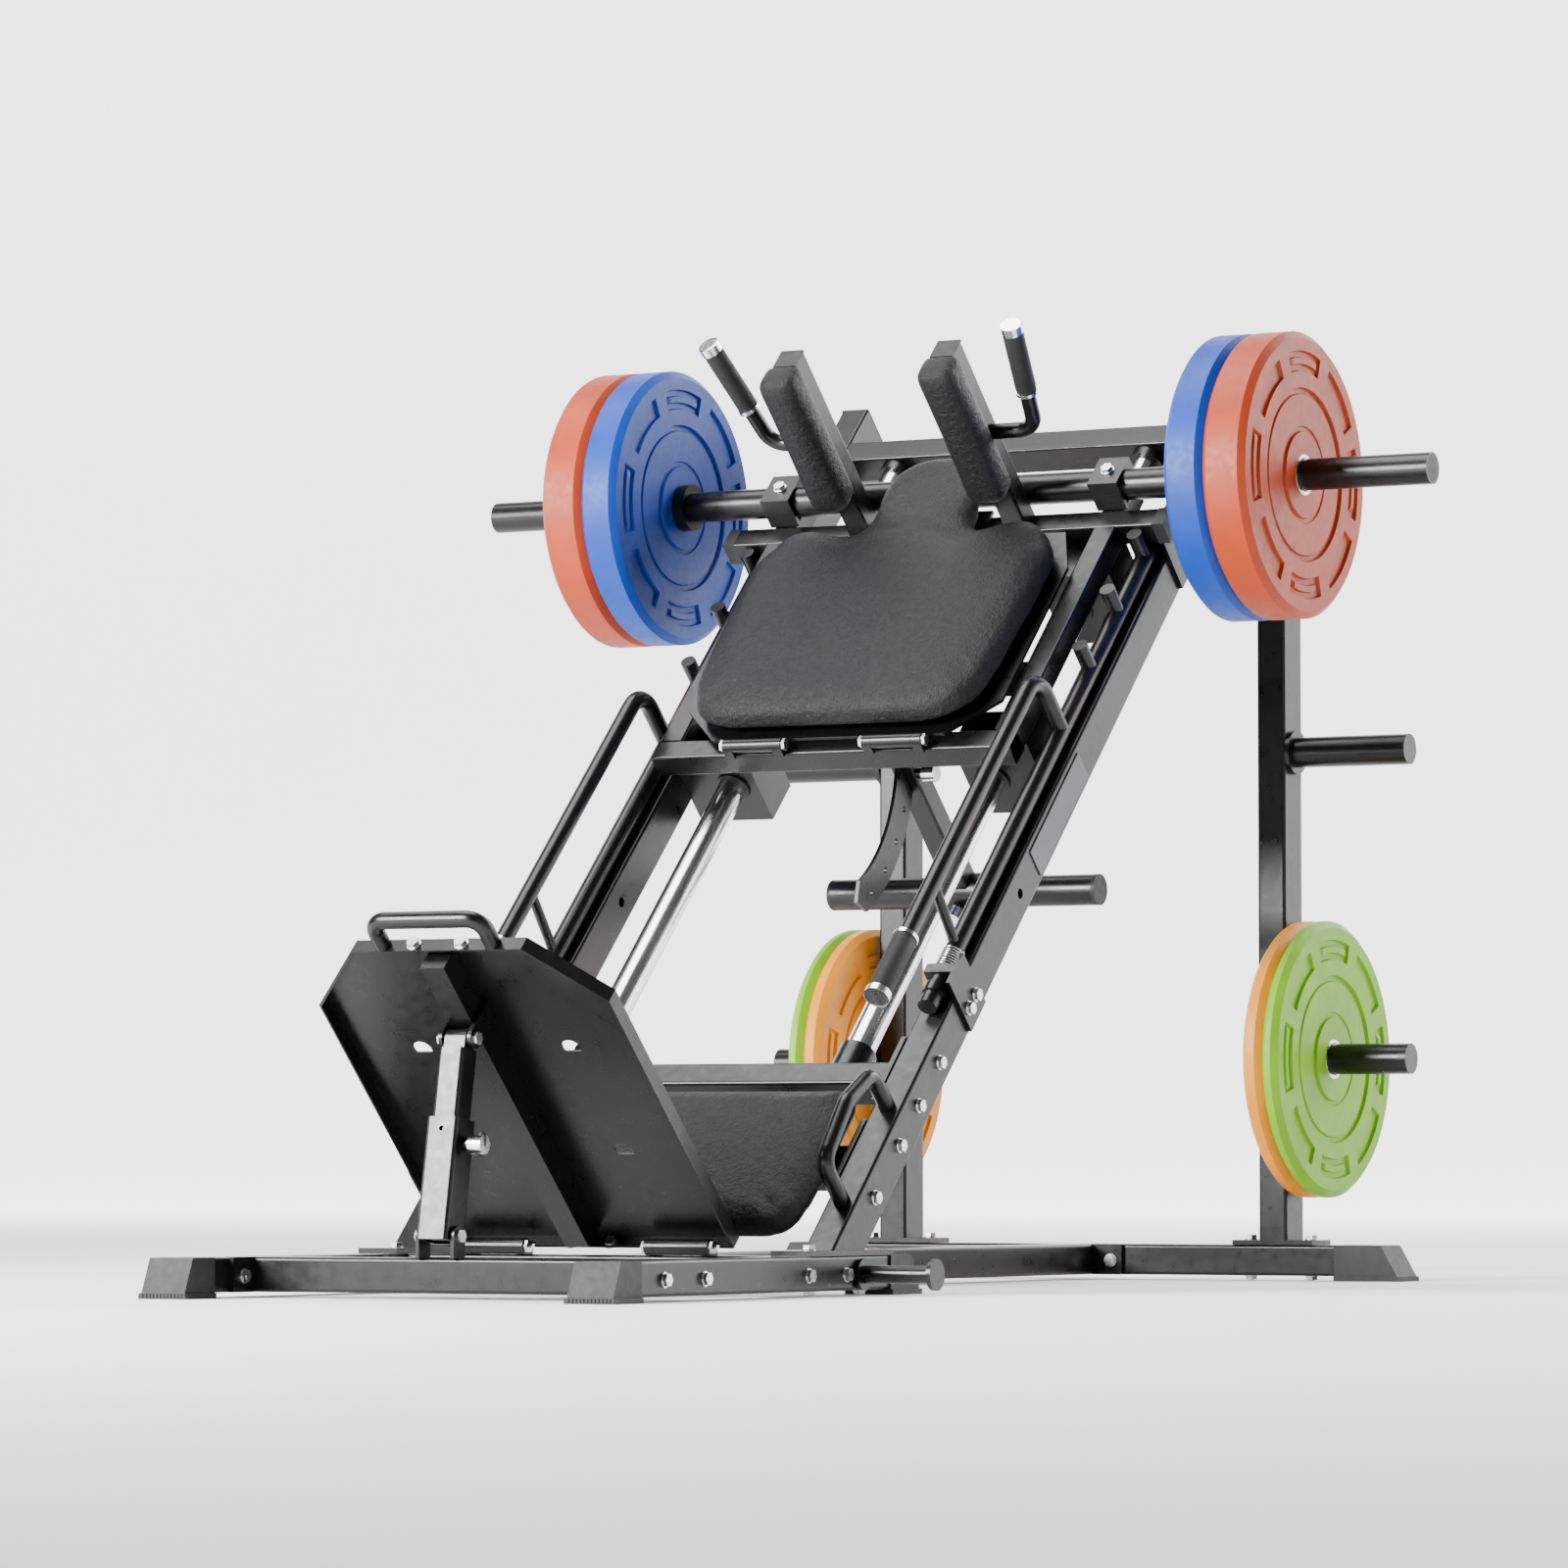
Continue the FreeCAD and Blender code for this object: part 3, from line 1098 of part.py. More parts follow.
def foot_ear(side):
    low = s.inner_width / 2 + s.ear_gap
    xs = across(low, low + s.ear_thick, side)
    ear = weld(rod("x", s.ear_radius, *xs, *top_pivot),
               block(xs, (top_pivot[0], s.foot_top - s.foot_sheet), around(top_pivot[1], s.ear_radius * 2)))
    return cut(ear, rod("x", s.pivot_radius + s.fit, xs[0] - 1, xs[1] + 1, *top_pivot))


shell = cut(tray_body, hollow_body, *vents, *foot_reliefs)
knuckle_bores = [rod("x", s.pivot_radius + s.fit, *across(s.foot_in, s.foot_out, side), *foot_pivot)
                 for side in (1, -1)]
node("foot_plate", SLOPE, cut(weld(shell, rib, *both(foot_ear), *foot_knuckles), *knuckle_bores))

handle_u = s.foot_top - s.foot_deep / 2
node("foot_handle", SLOPE, bent_tube(
    [(-s.foot_handle_x, handle_u, s.foot_high), (-s.foot_handle_x, handle_u, s.foot_handle_n),
     (s.foot_handle_x, handle_u, s.foot_handle_n), (s.foot_handle_x, handle_u, s.foot_high)],
    s.foot_handle_bend, s.foot_handle_radius, s.grip_tube_bore))
lip_bolts = [bolt_head(s.foot_high, s.lip_bolt_x * side, handle_u) for side in (1, -1)]

strut_rise = s.strut_top_z - s.strut_z
strut_run = s.strut_top_y - s.strut_y
strut_turn = math.degrees(math.atan2(number(strut_rise), number(strut_run)))
strut_length = root(strut_rise * strut_rise + strut_run * strut_run)


def on_strut(piece):
    """Carries a piece drawn upright about the lower pivot onto the leaning strut."""
    piece = group(piece)
    return place(piece, 0, s.strut_y, s.strut_z, FreeCAD.Rotation(Vector(1, 0, 0), strut_turn - 90))


def square(width):
    return around(NOUGHT, width)


outer_tube = tube("z", -s.strut_low, s.strut_high, square(s.strut_width), square(s.strut_width), s.strut_wall)
strut_bolt_bore = rod("x", s.pivot_radius + s.fit, -s.strut_width, s.strut_width, 0, 0)
side_pin_bore = rod("x", s.pin_radius + s.fit, s.inner_width / 2, s.strut_width, 0, s.strut_pin_at)
front_hole = rod("y", s.strut_slot, -s.strut_width, s.inner_width * -0.5, 0, s.strut_slot_at)
strut_seat = rod("x", s.pin_collar_radius, s.strut_width / 2, s.strut_width / 2 + s.pin_collar,
                 0, s.strut_pin_at)
node("strut_outer", LEVEL, on_strut(cut(weld(outer_tube, strut_seat), strut_bolt_bore, side_pin_bore,
                                        front_hole)))
eye_at = strut_length
inner_tube = tube("z", s.inner_low, eye_at - s.inner_short, square(s.inner_width), square(s.inner_width))
eye_low = eye_at - s.inner_short - 2
eye = weld(rod("x", s.eye_radius, -s.eye_half, s.eye_half, 0, eye_at),
           block((-s.eye_half, s.eye_half), (-s.eye_radius, s.eye_radius), (eye_low, eye_at)))
eye = cut(eye, rod("x", s.eye_hole, -s.strut_width, s.strut_width, 0, eye_at))
node("strut_inner", LEVEL, on_strut(weld(inner_tube, eye)))
strut_pin_tip = s.inner_width / 2 + s.seat_gap
strut_pin_reach = s.strut_width / 2 + s.pin_collar + s.seat_gap + s.pin_stem - strut_pin_tip
node("strut_pull_pin", LEVEL, on_strut(pull_pin("x", strut_pin_tip, 1, strut_pin_reach, 0, s.strut_pin_at)))


def through_bolt(reach, y, z):
    return weld(rod("x", s.pivot_radius, -(reach + s.pivot_nut), reach + s.pivot_nut, y, z),
                hexagon("x", s.head_flats, reach, reach + s.pivot_nut, y, z),
                hexagon("x", s.head_flats, -(reach + s.pivot_nut), -reach, y, z))


strut_bolt = through_bolt(s.inner_width / 2 + s.ear_gap + s.ear_thick, *top_pivot)
node("foot_plate_bolts", SLOPE, strut_bolt, *lip_bolts)
frame_pivots = [through_bolt(ear_outer, s.strut_y, s.strut_z)]
frame_pivots += [pivot_bolt(s.foot_in, s.foot_out, side, s.foot_hinge_y, s.foot_hinge_z) for side in (1, -1)]

# ------------------------------------------------------------------ frame fasteners

level_bolts = []
for side in (1, -1):
    for middle in (s.front_cross_y, s.hinge_cross_y):
        for end in (1, -1):
            level_bolts.append(bolt("x", middle + s.cross_bolt_reach * end, s.cross_bolt_height,
                                    base_outer * side, (base_inner - s.flange) * side))
    for y in (s.foot_bolt_front, s.foot_bolt_rear):
        level_bolts.append(bolt("z", s.base_x * side, y, shoe_top, s.floor_gap))
    level_bolts.append(bolt("y", s.spine_bolt_x * side, s.cross_bolt_height,
                            rear_back, rear_front - s.flange))
for x in shoe_bolts:
    level_bolts.append(bolt("z", x, s.rear_y, shoe_top, s.floor_gap))
slope_bolts = []
for side in (1, -1):
    for u in side_bolts[:4]:
        slope_bolts.append(tilt(bolt("x", u, s.side_bolt_n, rail_outer * side,
                                     (rail_inner - s.flange) * side)))
    for u in side_bolts[4:]:
        slope_bolts.append(tilt(bolt("x", u, s.side_bolt_n, (rail_outer + s.bracket_plate) * side,
                                     rail_inner * side)))
node("frame_bolts", LEVEL, *level_bolts, *slope_bolts, *frame_pivots)

# ------------------------------------------------------------------ checks and export

doc.recompute()
for thing in doc.Objects:
    if "Invalid" in thing.State or "Error" in thing.State:
        raise RuntimeError("%s (%s) failed: %s" % (thing.Name, thing.Label, thing.State))
labels = [piece.Label for piece in nodes]
if len(set(labels)) != len(labels):
    raise RuntimeError("two sub-parts share a label")
for piece in nodes:
    if piece.Shape.isNull() or not piece.Shape.isValid() or not piece.Shape.Solids:
        raise RuntimeError("%s has no valid shape" % piece.Label)
    piece.Shape.exportStep("parts/%s.step" % piece.Label)
    box = piece.Shape.BoundBox
    print("%-24s %2d solids  X %7.1f %7.1f  Y %7.1f %7.1f  Z %7.1f %7.1f" % (
        piece.Label, len(piece.Shape.Solids), box.XMin, box.XMax, box.YMin, box.YMax, box.ZMin, box.ZMax))
print(len(nodes), "sub-parts")
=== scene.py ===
"""Finishes for a plate-loaded incline leg press: pads, weight discs, springs, soles, materials and studio."""
import math

import bmesh
import bpy
import numpy as np
from bpy.props import FloatProperty, FloatVectorProperty, IntProperty, PointerProperty
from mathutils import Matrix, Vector


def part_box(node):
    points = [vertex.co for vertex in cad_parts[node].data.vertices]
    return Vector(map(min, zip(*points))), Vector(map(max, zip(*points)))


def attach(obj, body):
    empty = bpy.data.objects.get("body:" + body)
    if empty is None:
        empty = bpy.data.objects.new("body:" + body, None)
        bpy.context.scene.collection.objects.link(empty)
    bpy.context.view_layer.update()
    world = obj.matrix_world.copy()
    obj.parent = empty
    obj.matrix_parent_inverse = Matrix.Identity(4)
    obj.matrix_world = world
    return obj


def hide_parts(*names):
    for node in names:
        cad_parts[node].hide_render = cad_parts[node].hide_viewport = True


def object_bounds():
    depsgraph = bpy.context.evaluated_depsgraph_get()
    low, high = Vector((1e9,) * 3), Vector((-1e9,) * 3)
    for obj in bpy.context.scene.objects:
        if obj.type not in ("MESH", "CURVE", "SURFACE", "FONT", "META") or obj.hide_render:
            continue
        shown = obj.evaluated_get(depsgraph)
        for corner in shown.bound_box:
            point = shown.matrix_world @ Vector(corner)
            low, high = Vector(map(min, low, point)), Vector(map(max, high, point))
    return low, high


bl_info = {
    "name": "Incline leg press finishes",
    "version": (1, 0, 0),
    "blender": (4, 5, 0),
    "location": "View3D > Sidebar > Leg press",
    "description": "Upholstery, weight discs, small repeated parts and materials round the packed frame",
    "category": "Object",
}

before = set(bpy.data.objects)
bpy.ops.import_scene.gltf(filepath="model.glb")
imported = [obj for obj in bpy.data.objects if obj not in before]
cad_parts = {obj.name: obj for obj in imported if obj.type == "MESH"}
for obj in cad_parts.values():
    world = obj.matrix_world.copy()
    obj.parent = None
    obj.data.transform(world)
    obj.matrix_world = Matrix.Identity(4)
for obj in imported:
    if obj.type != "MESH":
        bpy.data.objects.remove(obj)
CAD_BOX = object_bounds()
ROOT_HALF = math.sqrt(0.5)
HUB_BORE = 0.0253
HUB_RADIUS = 0.033
HUB_RECESS = 0.0002
YELLOW_SHARE = 34.0 / 62.3
PAD_ROOM = 0.003

# ------------------------------------------------------------------ slope frame helpers


def to_world(points):
    """Points (x, up the rails, out of the rails) as world points; the rails lie at 45 degrees."""
    points = np.asarray(points, float)
    x, up, out = points[:, 0], points[:, 1], points[:, 2]
    return np.column_stack((x, (up - out) * ROOT_HALF, (up + out) * ROOT_HALF))


def slope_box(name):
    """Lowest and highest corners of a CAD node, measured along the rails."""
    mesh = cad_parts[name].data
    flat = np.empty(len(mesh.vertices) * 3)
    mesh.vertices.foreach_get("co", flat)
    x, y, z = flat.reshape(-1, 3).T
    along = np.column_stack((x, (y + z) * ROOT_HALF, (z - y) * ROOT_HALF))
    return along.min(0), along.max(0)


def new_piece(name, mesh, material):
    """Links a mesh with one material and smooth faces."""
    piece = bpy.data.objects.new(name, mesh)
    bpy.context.scene.collection.objects.link(piece)
    mesh.materials.clear()
    mesh.materials.append(material)
    smooth_faces(mesh)
    return piece


def smooth_faces(mesh):
    for face in mesh.polygons:
        face.use_smooth = True


def coordinates(mesh):
    flat = np.empty(len(mesh.vertices) * 3)
    mesh.vertices.foreach_get("co", flat)
    return flat.reshape(-1, 3)


def put_coordinates(mesh, points):
    mesh.vertices.foreach_set("co", np.asarray(points, float).ravel())
    mesh.update()


# ------------------------------------------------------------------ settings


class FrameSettings(bpy.types.PropertyGroup):
    powder_coat: FloatVectorProperty(name="Powder coat", description="Colour of the frame's coating",
                                     subtype="COLOR", size=3, default=(0.0022, 0.0022, 0.0024))
    chrome: FloatVectorProperty(name="Chrome", description="Tint of the guide rods and springs",
                                subtype="COLOR", size=3, default=(0.86, 0.86, 0.87))
    zinc: FloatVectorProperty(name="Zinc", description="Tint of the bolts and nuts",
                              subtype="COLOR", size=3, default=(0.66, 0.66, 0.65))
    badge: FloatVectorProperty(name="Name plate", description="Colour of the blank name plates",
                               subtype="COLOR", size=3, default=(0.085, 0.087, 0.095))


class PadSettings(bpy.types.PropertyGroup):
    cover: FloatVectorProperty(name="Cover", description="Colour of the leatherette",
                               subtype="COLOR", size=3, default=(0.0030, 0.0030, 0.0033))
    voxel: FloatProperty(name="Cloth cell", description="Size of the cover's simulated cells",
                         unit="LENGTH", default=0.006, min=0.003)
    pressure: FloatProperty(name="Pressure", description="How hard the foam presses on its cover",
                            default=4.0, min=0.0)
    swell: FloatProperty(name="Swell", description="Furthest that the cover may move",
                         unit="LENGTH", default=0.005, min=0.0)
    margin: FloatProperty(name="Margin", description="How far the pad starts inside its space",
                          unit="LENGTH", default=0.004, min=0.0)


class DiscSettings(bpy.types.PropertyGroup):
    blue: FloatVectorProperty(name="Blue", description="Inner carriage discs", subtype="COLOR", size=3,
                              default=(0.001, 0.038, 0.30))
    orange: FloatVectorProperty(name="Orange red", description="Outer carriage discs", subtype="COLOR",
                                size=3, default=(0.34, 0.036, 0.006))
    yellow: FloatVectorProperty(name="Yellow", description="Inner storage discs", subtype="COLOR", size=3,
                                default=(0.70, 0.24, 0.001))
    green: FloatVectorProperty(name="Green", description="Outer storage discs", subtype="COLOR", size=3,
                               default=(0.17, 0.40, 0.002))
    pockets: IntProperty(name="Pockets", description="Sunk arcs round each face", default=8, min=2)
    depth: FloatProperty(name="Pocket depth", description="How deep the arcs are sunk", unit="LENGTH",
                         default=0.005, min=0.0)
    bevel: FloatProperty(name="Rim bevel", description="Width of the sloping edge of the rim",
                         unit="LENGTH", default=0.011, min=0.001)


class StageSettings(bpy.types.PropertyGroup):
    lens: FloatProperty(name="Lens", description="Focal length in millimetres", default=159.7, min=10.0)
    key: FloatProperty(name="Key light", description="Power of the soft light in front on the left",
                       unit="POWER", default=1500.0, min=0.0)
    top: FloatProperty(name="Top light", description="Power of the soft light overhead", unit="POWER",
                       default=340.0, min=0.0)
    fill: FloatProperty(name="Fill light", description="Power of the weaker soft lights", unit="POWER",
                        default=25.0, min=0.0)
    sky: FloatProperty(name="Sky", description="Strength of the even white light", default=0.10, min=0.0)
    wall: FloatProperty(name="Wall", description="Strength of the lit backdrop", default=2.6, min=0.0)


# ------------------------------------------------------------------ materials


def blank_material(name):
    """Material with one principled shader, its tree and its object coordinates."""
    material = bpy.data.materials.new(name)
    material.use_nodes = True
    tree = material.node_tree
    shader = tree.nodes["Principled BSDF"]
    where = tree.nodes.new("ShaderNodeTexCoord").outputs["Object"]
    return material, tree, shader, where


def noise(tree, where, scale, detail=4.0, roughness=0.55, stretch=None):
    node = tree.nodes.new("ShaderNodeTexNoise")
    node.inputs["Scale"].default_value = scale
    node.inputs["Detail"].default_value = detail
    node.inputs["Roughness"].default_value = roughness
    if stretch:
        mapping = tree.nodes.new("ShaderNodeMapping")
        mapping.inputs["Scale"].default_value = stretch
        tree.links.new(where, mapping.inputs["Vector"])
        where = mapping.outputs["Vector"]
    tree.links.new(where, node.inputs["Vector"])
    return node.outputs["Fac"]


def spread(tree, value, low, high):
    """Maps a texture value to a range."""
    node = tree.nodes.new("ShaderNodeMapRange")
    node.inputs["From Min"].default_value = 0.3
    node.inputs["From Max"].default_value = 0.7
    node.inputs["To Min"].default_value = low
    node.inputs["To Max"].default_value = high
    tree.links.new(value, node.inputs["Value"])
    return node.outputs["Result"]


def tint(tree, value, dark, light):
    """Colour between two shades driven by a texture value."""
    node = tree.nodes.new("ShaderNodeValToRGB")
    node.color_ramp.elements[0].position = 0.32
    node.color_ramp.elements[1].position = 0.68
    node.color_ramp.elements[0].color = (*dark, 1)
    node.color_ramp.elements[1].color = (*light, 1)
    tree.links.new(value, node.inputs["Fac"])
    return node.outputs["Color"]


def shade(colour, amount):
    return tuple(min(1.0, channel * amount) for channel in colour)


def bump(tree, shader, height, strength, distance, below=None):
    node = tree.nodes.new("ShaderNodeBump")
    node.inputs["Strength"].default_value = strength
    node.inputs["Distance"].default_value = distance
    tree.links.new(height, node.inputs["Height"])
    if below is not None:
        tree.links.new(below, node.inputs["Normal"])
    tree.links.new(node.outputs["Normal"], shader.inputs["Normal"])
    return node.outputs["Normal"]


def powder_coat(colour):
    material, tree, shader, where = blank_material("powder_coat")
    cloud = noise(tree, where, 7.0, 3.0)
    tree.links.new(tint(tree, cloud, shade(colour, 0.85), shade(colour, 1.3)), shader.inputs["Base Color"])
    tree.links.new(spread(tree, noise(tree, where, 55.0), 0.26, 0.36), shader.inputs["Roughness"])
    peel = noise(tree, where, 900.0, 2.0)
    bump(tree, shader, peel, 0.12, 0.0003, bump(tree, shader, noise(tree, where, 160.0), 0.08, 0.0006))
    shader.inputs["Specular IOR Level"].default_value = 0.36
    return material


def polished(name, colour, low, high, streak):
    material, tree, shader, where = blank_material(name)
    shader.inputs["Metallic"].default_value = 1.0
    lines = noise(tree, where, 60.0, 5.0, 0.6, streak)
    tree.links.new(tint(tree, lines, shade(colour, 0.93), shade(colour, 1.05)), shader.inputs["Base Color"])
    tree.links.new(spread(tree, lines, low, high), shader.inputs["Roughness"])
    bump(tree, shader, lines, 0.03, 0.0002)
    return material


def leatherette(colour):
    """Soft vinyl with a fine creased grain; its colour follows the grain's height, as painted shade in the
    creases and painted highlight on the raised grain.
    """
    material, tree, shader, where = blank_material("leatherette")
    warp = noise(tree, where, 60.0, 3.0)
    mix = tree.nodes.new("ShaderNodeMix")
    mix.data_type = "VECTOR"
    mix.inputs["Factor"].default_value = 0.012
    tree.links.new(where, mix.inputs[4])
    tree.links.new(warp, mix.inputs[5])
    cells = tree.nodes.new("ShaderNodeTexVoronoi")
    cells.feature = "DISTANCE_TO_EDGE"
    cells.inputs["Scale"].default_value = 210.0
    tree.links.new(mix.outputs[1], cells.inputs["Vector"])
    crease = tree.nodes.new("ShaderNodeMapRange")
    crease.inputs["From Max"].default_value = 0.22
    tree.links.new(cells.outputs["Distance"], crease.inputs["Value"])
    wrinkle_and_shade = noise(tree, where, 105.0, 5.0, 0.62)
    first = bump(tree, shader, wrinkle_and_shade, 0.9, 0.0042)
    second = bump(tree, shader, crease.outputs["Result"], 0.45, 0.0010, first)
    bump(tree, shader, noise(tree, where, 14.0, 2.0), 0.25, 0.004, second)
    # Painted shade and highlight: the cover's colour is darker in the wrinkles' creases and lighter on their
    # raised tops, following the same noise as the bump.
    tree.links.new(tint(tree, wrinkle_and_shade, shade(colour, 0.7), shade(colour, 1.5)), shader.inputs["Base Color"])
    tree.links.new(spread(tree, wrinkle_and_shade, 0.52, 0.40), shader.inputs["Roughness"])
    shader.inputs["Specular IOR Level"].default_value = 0.32
    return material


def rubber(name, colour, low=0.42, high=0.56, grain=420.0, strength=0.18):
    material, tree, shader, where = blank_material(name)
    shader.inputs["Specular IOR Level"].default_value = 0.3
    cloud = noise(tree, where, 16.0, 5.0)
    tree.links.new(tint(tree, cloud, shade(colour, 0.9), shade(colour, 1.1)), shader.inputs["Base Color"])
    tree.links.new(spread(tree, noise(tree, where, 80.0), low, high), shader.inputs["Roughness"])
    bump(tree, shader, noise(tree, where, grain, 3.0), strength, 0.0005)
    return material


def brushed_plate(colour):
    material, tree, shader, where = blank_material("name_plate")
    shader.inputs["Metallic"].default_value = 0.35
    lines = noise(tree, where, 240.0, 4.0, 0.6, (1.0, 0.08, 0.08))
    tree.links.new(tint(tree, lines, shade(colour, 0.88), shade(colour, 1.12)), shader.inputs["Base Color"])
    tree.links.new(spread(tree, lines, 0.40, 0.55), shader.inputs["Roughness"])
    bump(tree, shader, lines, 0.1, 0.0003)
    return material


def floor_finish(wall):
    """White studio paper that is lit from behind where it rises."""
    material, tree, shader, where = blank_material("studio_floor")
    cloud = noise(tree, where, 0.6, 2.0)
    tree.links.new(tint(tree, cloud, (0.90, 0.90, 0.90), (0.93, 0.93, 0.93)), shader.inputs["Base Color"])
    shader.inputs["Roughness"].default_value = 0.65
    shader.inputs["Emission Color"].default_value = (1, 1, 1, 1)
    parts = tree.nodes.new("ShaderNodeSeparateXYZ")
    tree.links.new(where, parts.inputs["Vector"])
    rise = tree.nodes.new("ShaderNodeMapRange")
    rise.interpolation_type = "SMOOTHSTEP"
    rise.inputs["From Min"].default_value = 2.0
    rise.inputs["From Max"].default_value = 13.0
    rise.inputs["To Min"].default_value = wall * 0.08
    rise.inputs["To Max"].default_value = wall
    tree.links.new(parts.outputs["Y"], rise.inputs["Value"])
    tree.links.new(rise.outputs["Result"], shader.inputs["Emission Strength"])
    return material


MATERIALS = {}


class LEGPRESS_OT_materials(bpy.types.Operator):
    """Make every finish and put it on the frame's own pieces"""
    bl_idname = "legpress.materials"
    bl_label = "Finishes"

    def execute(self, context):
        sizes = context.scene.leg_press_frame
        discs = context.scene.leg_press_discs
        steel_streak = (1.0, 0.1, 0.1)
        MATERIALS.update({
            "powder": powder_coat(sizes.powder_coat),
            "chrome": polished("chrome", sizes.chrome, 0.16, 0.26, steel_streak),
            "zinc": polished("zinc_plate", sizes.zinc, 0.22, 0.38, (1.0, 1.0, 1.0)),
            "badge": brushed_plate(sizes.badge),
            "cover": leatherette(context.scene.leg_press_pads.cover),
            "rubber": rubber("black_rubber", (0.016, 0.016, 0.016), 0.45, 0.6, 300.0, 0.3),
            "foam": rubber("grip_foam", (0.012, 0.012, 0.012), 0.55, 0.7, 700.0, 0.5),
            "boot": rubber("moulded_boot", (0.02, 0.02, 0.021), 0.5, 0.62, 500.0, 0.35),
            "nylon": rubber("bush_nylon", (0.012, 0.012, 0.012), 0.35, 0.45),
            "blue": rubber("disc_blue", discs.blue),
            "orange": rubber("disc_orange", discs.orange),
            "yellow": rubber("disc_yellow", discs.yellow),
            "green": rubber("disc_green", discs.green),
            "hub": polished("hub_steel", (0.6, 0.6, 0.61), 0.2, 0.32, (1.0, 1.0, 1.0)),
        })
        special = {
            "guide_rods": "chrome", "plate_pull_pin": "chrome", "horn_pull_pin": "chrome",
            "strut_pull_pin": "chrome", "frame_bolts": "zinc", "carriage_bolts": "zinc",
            "foot_plate_bolts": "zinc", "badge_plates": "badge", "floor_boots": "boot",
            "tube_end_caps": "rubber", "rail_end_caps": "rubber", "bearing_bushes": "nylon",
            "hand_grips": "foam",
        }
        for name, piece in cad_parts.items():
            piece.data.materials.clear()
            piece.data.materials.append(MATERIALS[special.get(name, "powder")])
        return {"FINISHED"}


# ------------------------------------------------------------------ pads


def rounded_outline(corners, steps=9):
    """Closed outline with an arc at each corner; a corner is (x, y, radius)."""
    points = []
    count = len(corners)
    for index in range(count):
        here = Vector(corners[index][:2])
        before = Vector(corners[index - 1][:2]) - here
        after = Vector(corners[(index + 1) % count][:2]) - here
        half = before.angle(after) / 2
        back = min(corners[index][2] / math.tan(half), before.length * 0.49, after.length * 0.49)
        start = here + before.normalized() * back
        end = here + after.normalized() * back
        for step in range(steps + 1):
            blend = step / steps
            points.append(tuple(start * (1 - blend) ** 2 + here * 2 * blend * (1 - blend) + end * blend ** 2))
    return points


def slab(outline, low, high, edge):
    """Closed slab over an outline with its upper edge rounded over."""
    shape = bmesh.new()
    rings = []
    layers = [(0.0, low), (0.0, high - edge)]
    layers += [(edge * (1 - math.cos(turn)), high - edge * (1 - math.sin(turn)))
               for turn in (math.pi / 8, math.pi / 4, math.pi * 3 / 8, math.pi / 2)]
    count = len(outline)
    normals = []
    for index in range(count):
        ahead = Vector(outline[(index + 1) % count]) - Vector(outline[index - 1])
        normals.append(Vector((-ahead.y, ahead.x)).normalized())
    for inset, height in layers:
        rings.append([shape.verts.new((point[0] + normal.x * inset, point[1] + normal.y * inset, height))
                      for point, normal in zip(outline, normals)])
    for lower, upper in zip(rings, rings[1:]):
        for index in range(count):
            following = (index + 1) % count
            shape.faces.new((lower[index], lower[following], upper[following], upper[index]))
    shape.faces.new(list(reversed(rings[0])))
    shape.faces.new(rings[-1])
    mesh = bpy.data.meshes.new("slab")
    shape.to_mesh(mesh)
    shape.free()
    return mesh


def remesh(piece, voxel):
    modifier = piece.modifiers.new("cells", "REMESH")
    modifier.mode = "VOXEL"
    modifier.voxel_size = voxel
    settle(piece)


def settle(piece):
    """Turns a piece's modifiers into its own plain mesh."""
    evaluated = piece.evaluated_get(bpy.context.evaluated_depsgraph_get())
    mesh = bpy.data.meshes.new_from_object(evaluated)
    piece.modifiers.clear()
    piece.data = mesh


def puff(piece, settings, flat_below):
    """Swells a cover with cloth pressure; what lies below flat_below stays on its board."""
    rest = coordinates(piece.data)
    held = piece.vertex_groups.new(name="held")
    held.add([index for index, point in enumerate(rest) if point[2] < flat_below], 1.0, "REPLACE")
    cloth = piece.modifiers.new("cover", "CLOTH")
    cloth.settings.use_pressure = True
    cloth.settings.uniform_pressure_force = settings.pressure
    cloth.settings.effector_weights.gravity = 0.0
    cloth.settings.vertex_group_mass = held.name
    cloth.settings.quality = 4
    cloth.settings.tension_stiffness = 40
    cloth.settings.compression_stiffness = 40
    cloth.settings.bending_stiffness = 4
    for number in range(1, 21):
        bpy.context.scene.frame_set(number)
    moved = piece.evaluated_get(bpy.context.evaluated_depsgraph_get())
    shift = coordinates(moved.data) - rest
    piece.modifiers.clear()
    bpy.context.scene.frame_set(1)
    length = np.maximum(np.linalg.norm(shift, axis=1), 1e-9)
    scale = np.minimum(1.0, settings.swell / length)
    put_coordinates(piece.data, rest + shift * scale[:, None])


def make_pad(name, mesh, settings, body, nodes, low, high, turn=to_world):
    """Pad from a slab in its own frame, puffed and then carried to its place."""
    piece = new_piece(name, mesh, MATERIALS["cover"])
    remesh(piece, settings.voxel)
    puff(piece, settings, low + settings.voxel * 1.2)
    smoothing = piece.modifiers.new("soften", "SMOOTH")
    smoothing.iterations = 12
    smoothing.factor = 0.5
    finer = piece.modifiers.new("finer", "SUBSURF")
    finer.levels = 1
    finer.render_levels = 1
    settle(piece)
    points = coordinates(piece.data)
    points[:, 2] = np.clip(points[:, 2], low, high + settings.swell)
    put_coordinates(piece.data, turn(points))
    piece.data.materials.clear()
    piece.data.materials.append(MATERIALS["cover"])
    smooth_faces(piece.data)
    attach(piece, body)
    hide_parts(*nodes)
    return piece


def mirrored(right):
    """Outline corners for the right side, then the same ones for the left."""
    return right + [(-x, y, radius) for x, y, radius in reversed(right)]


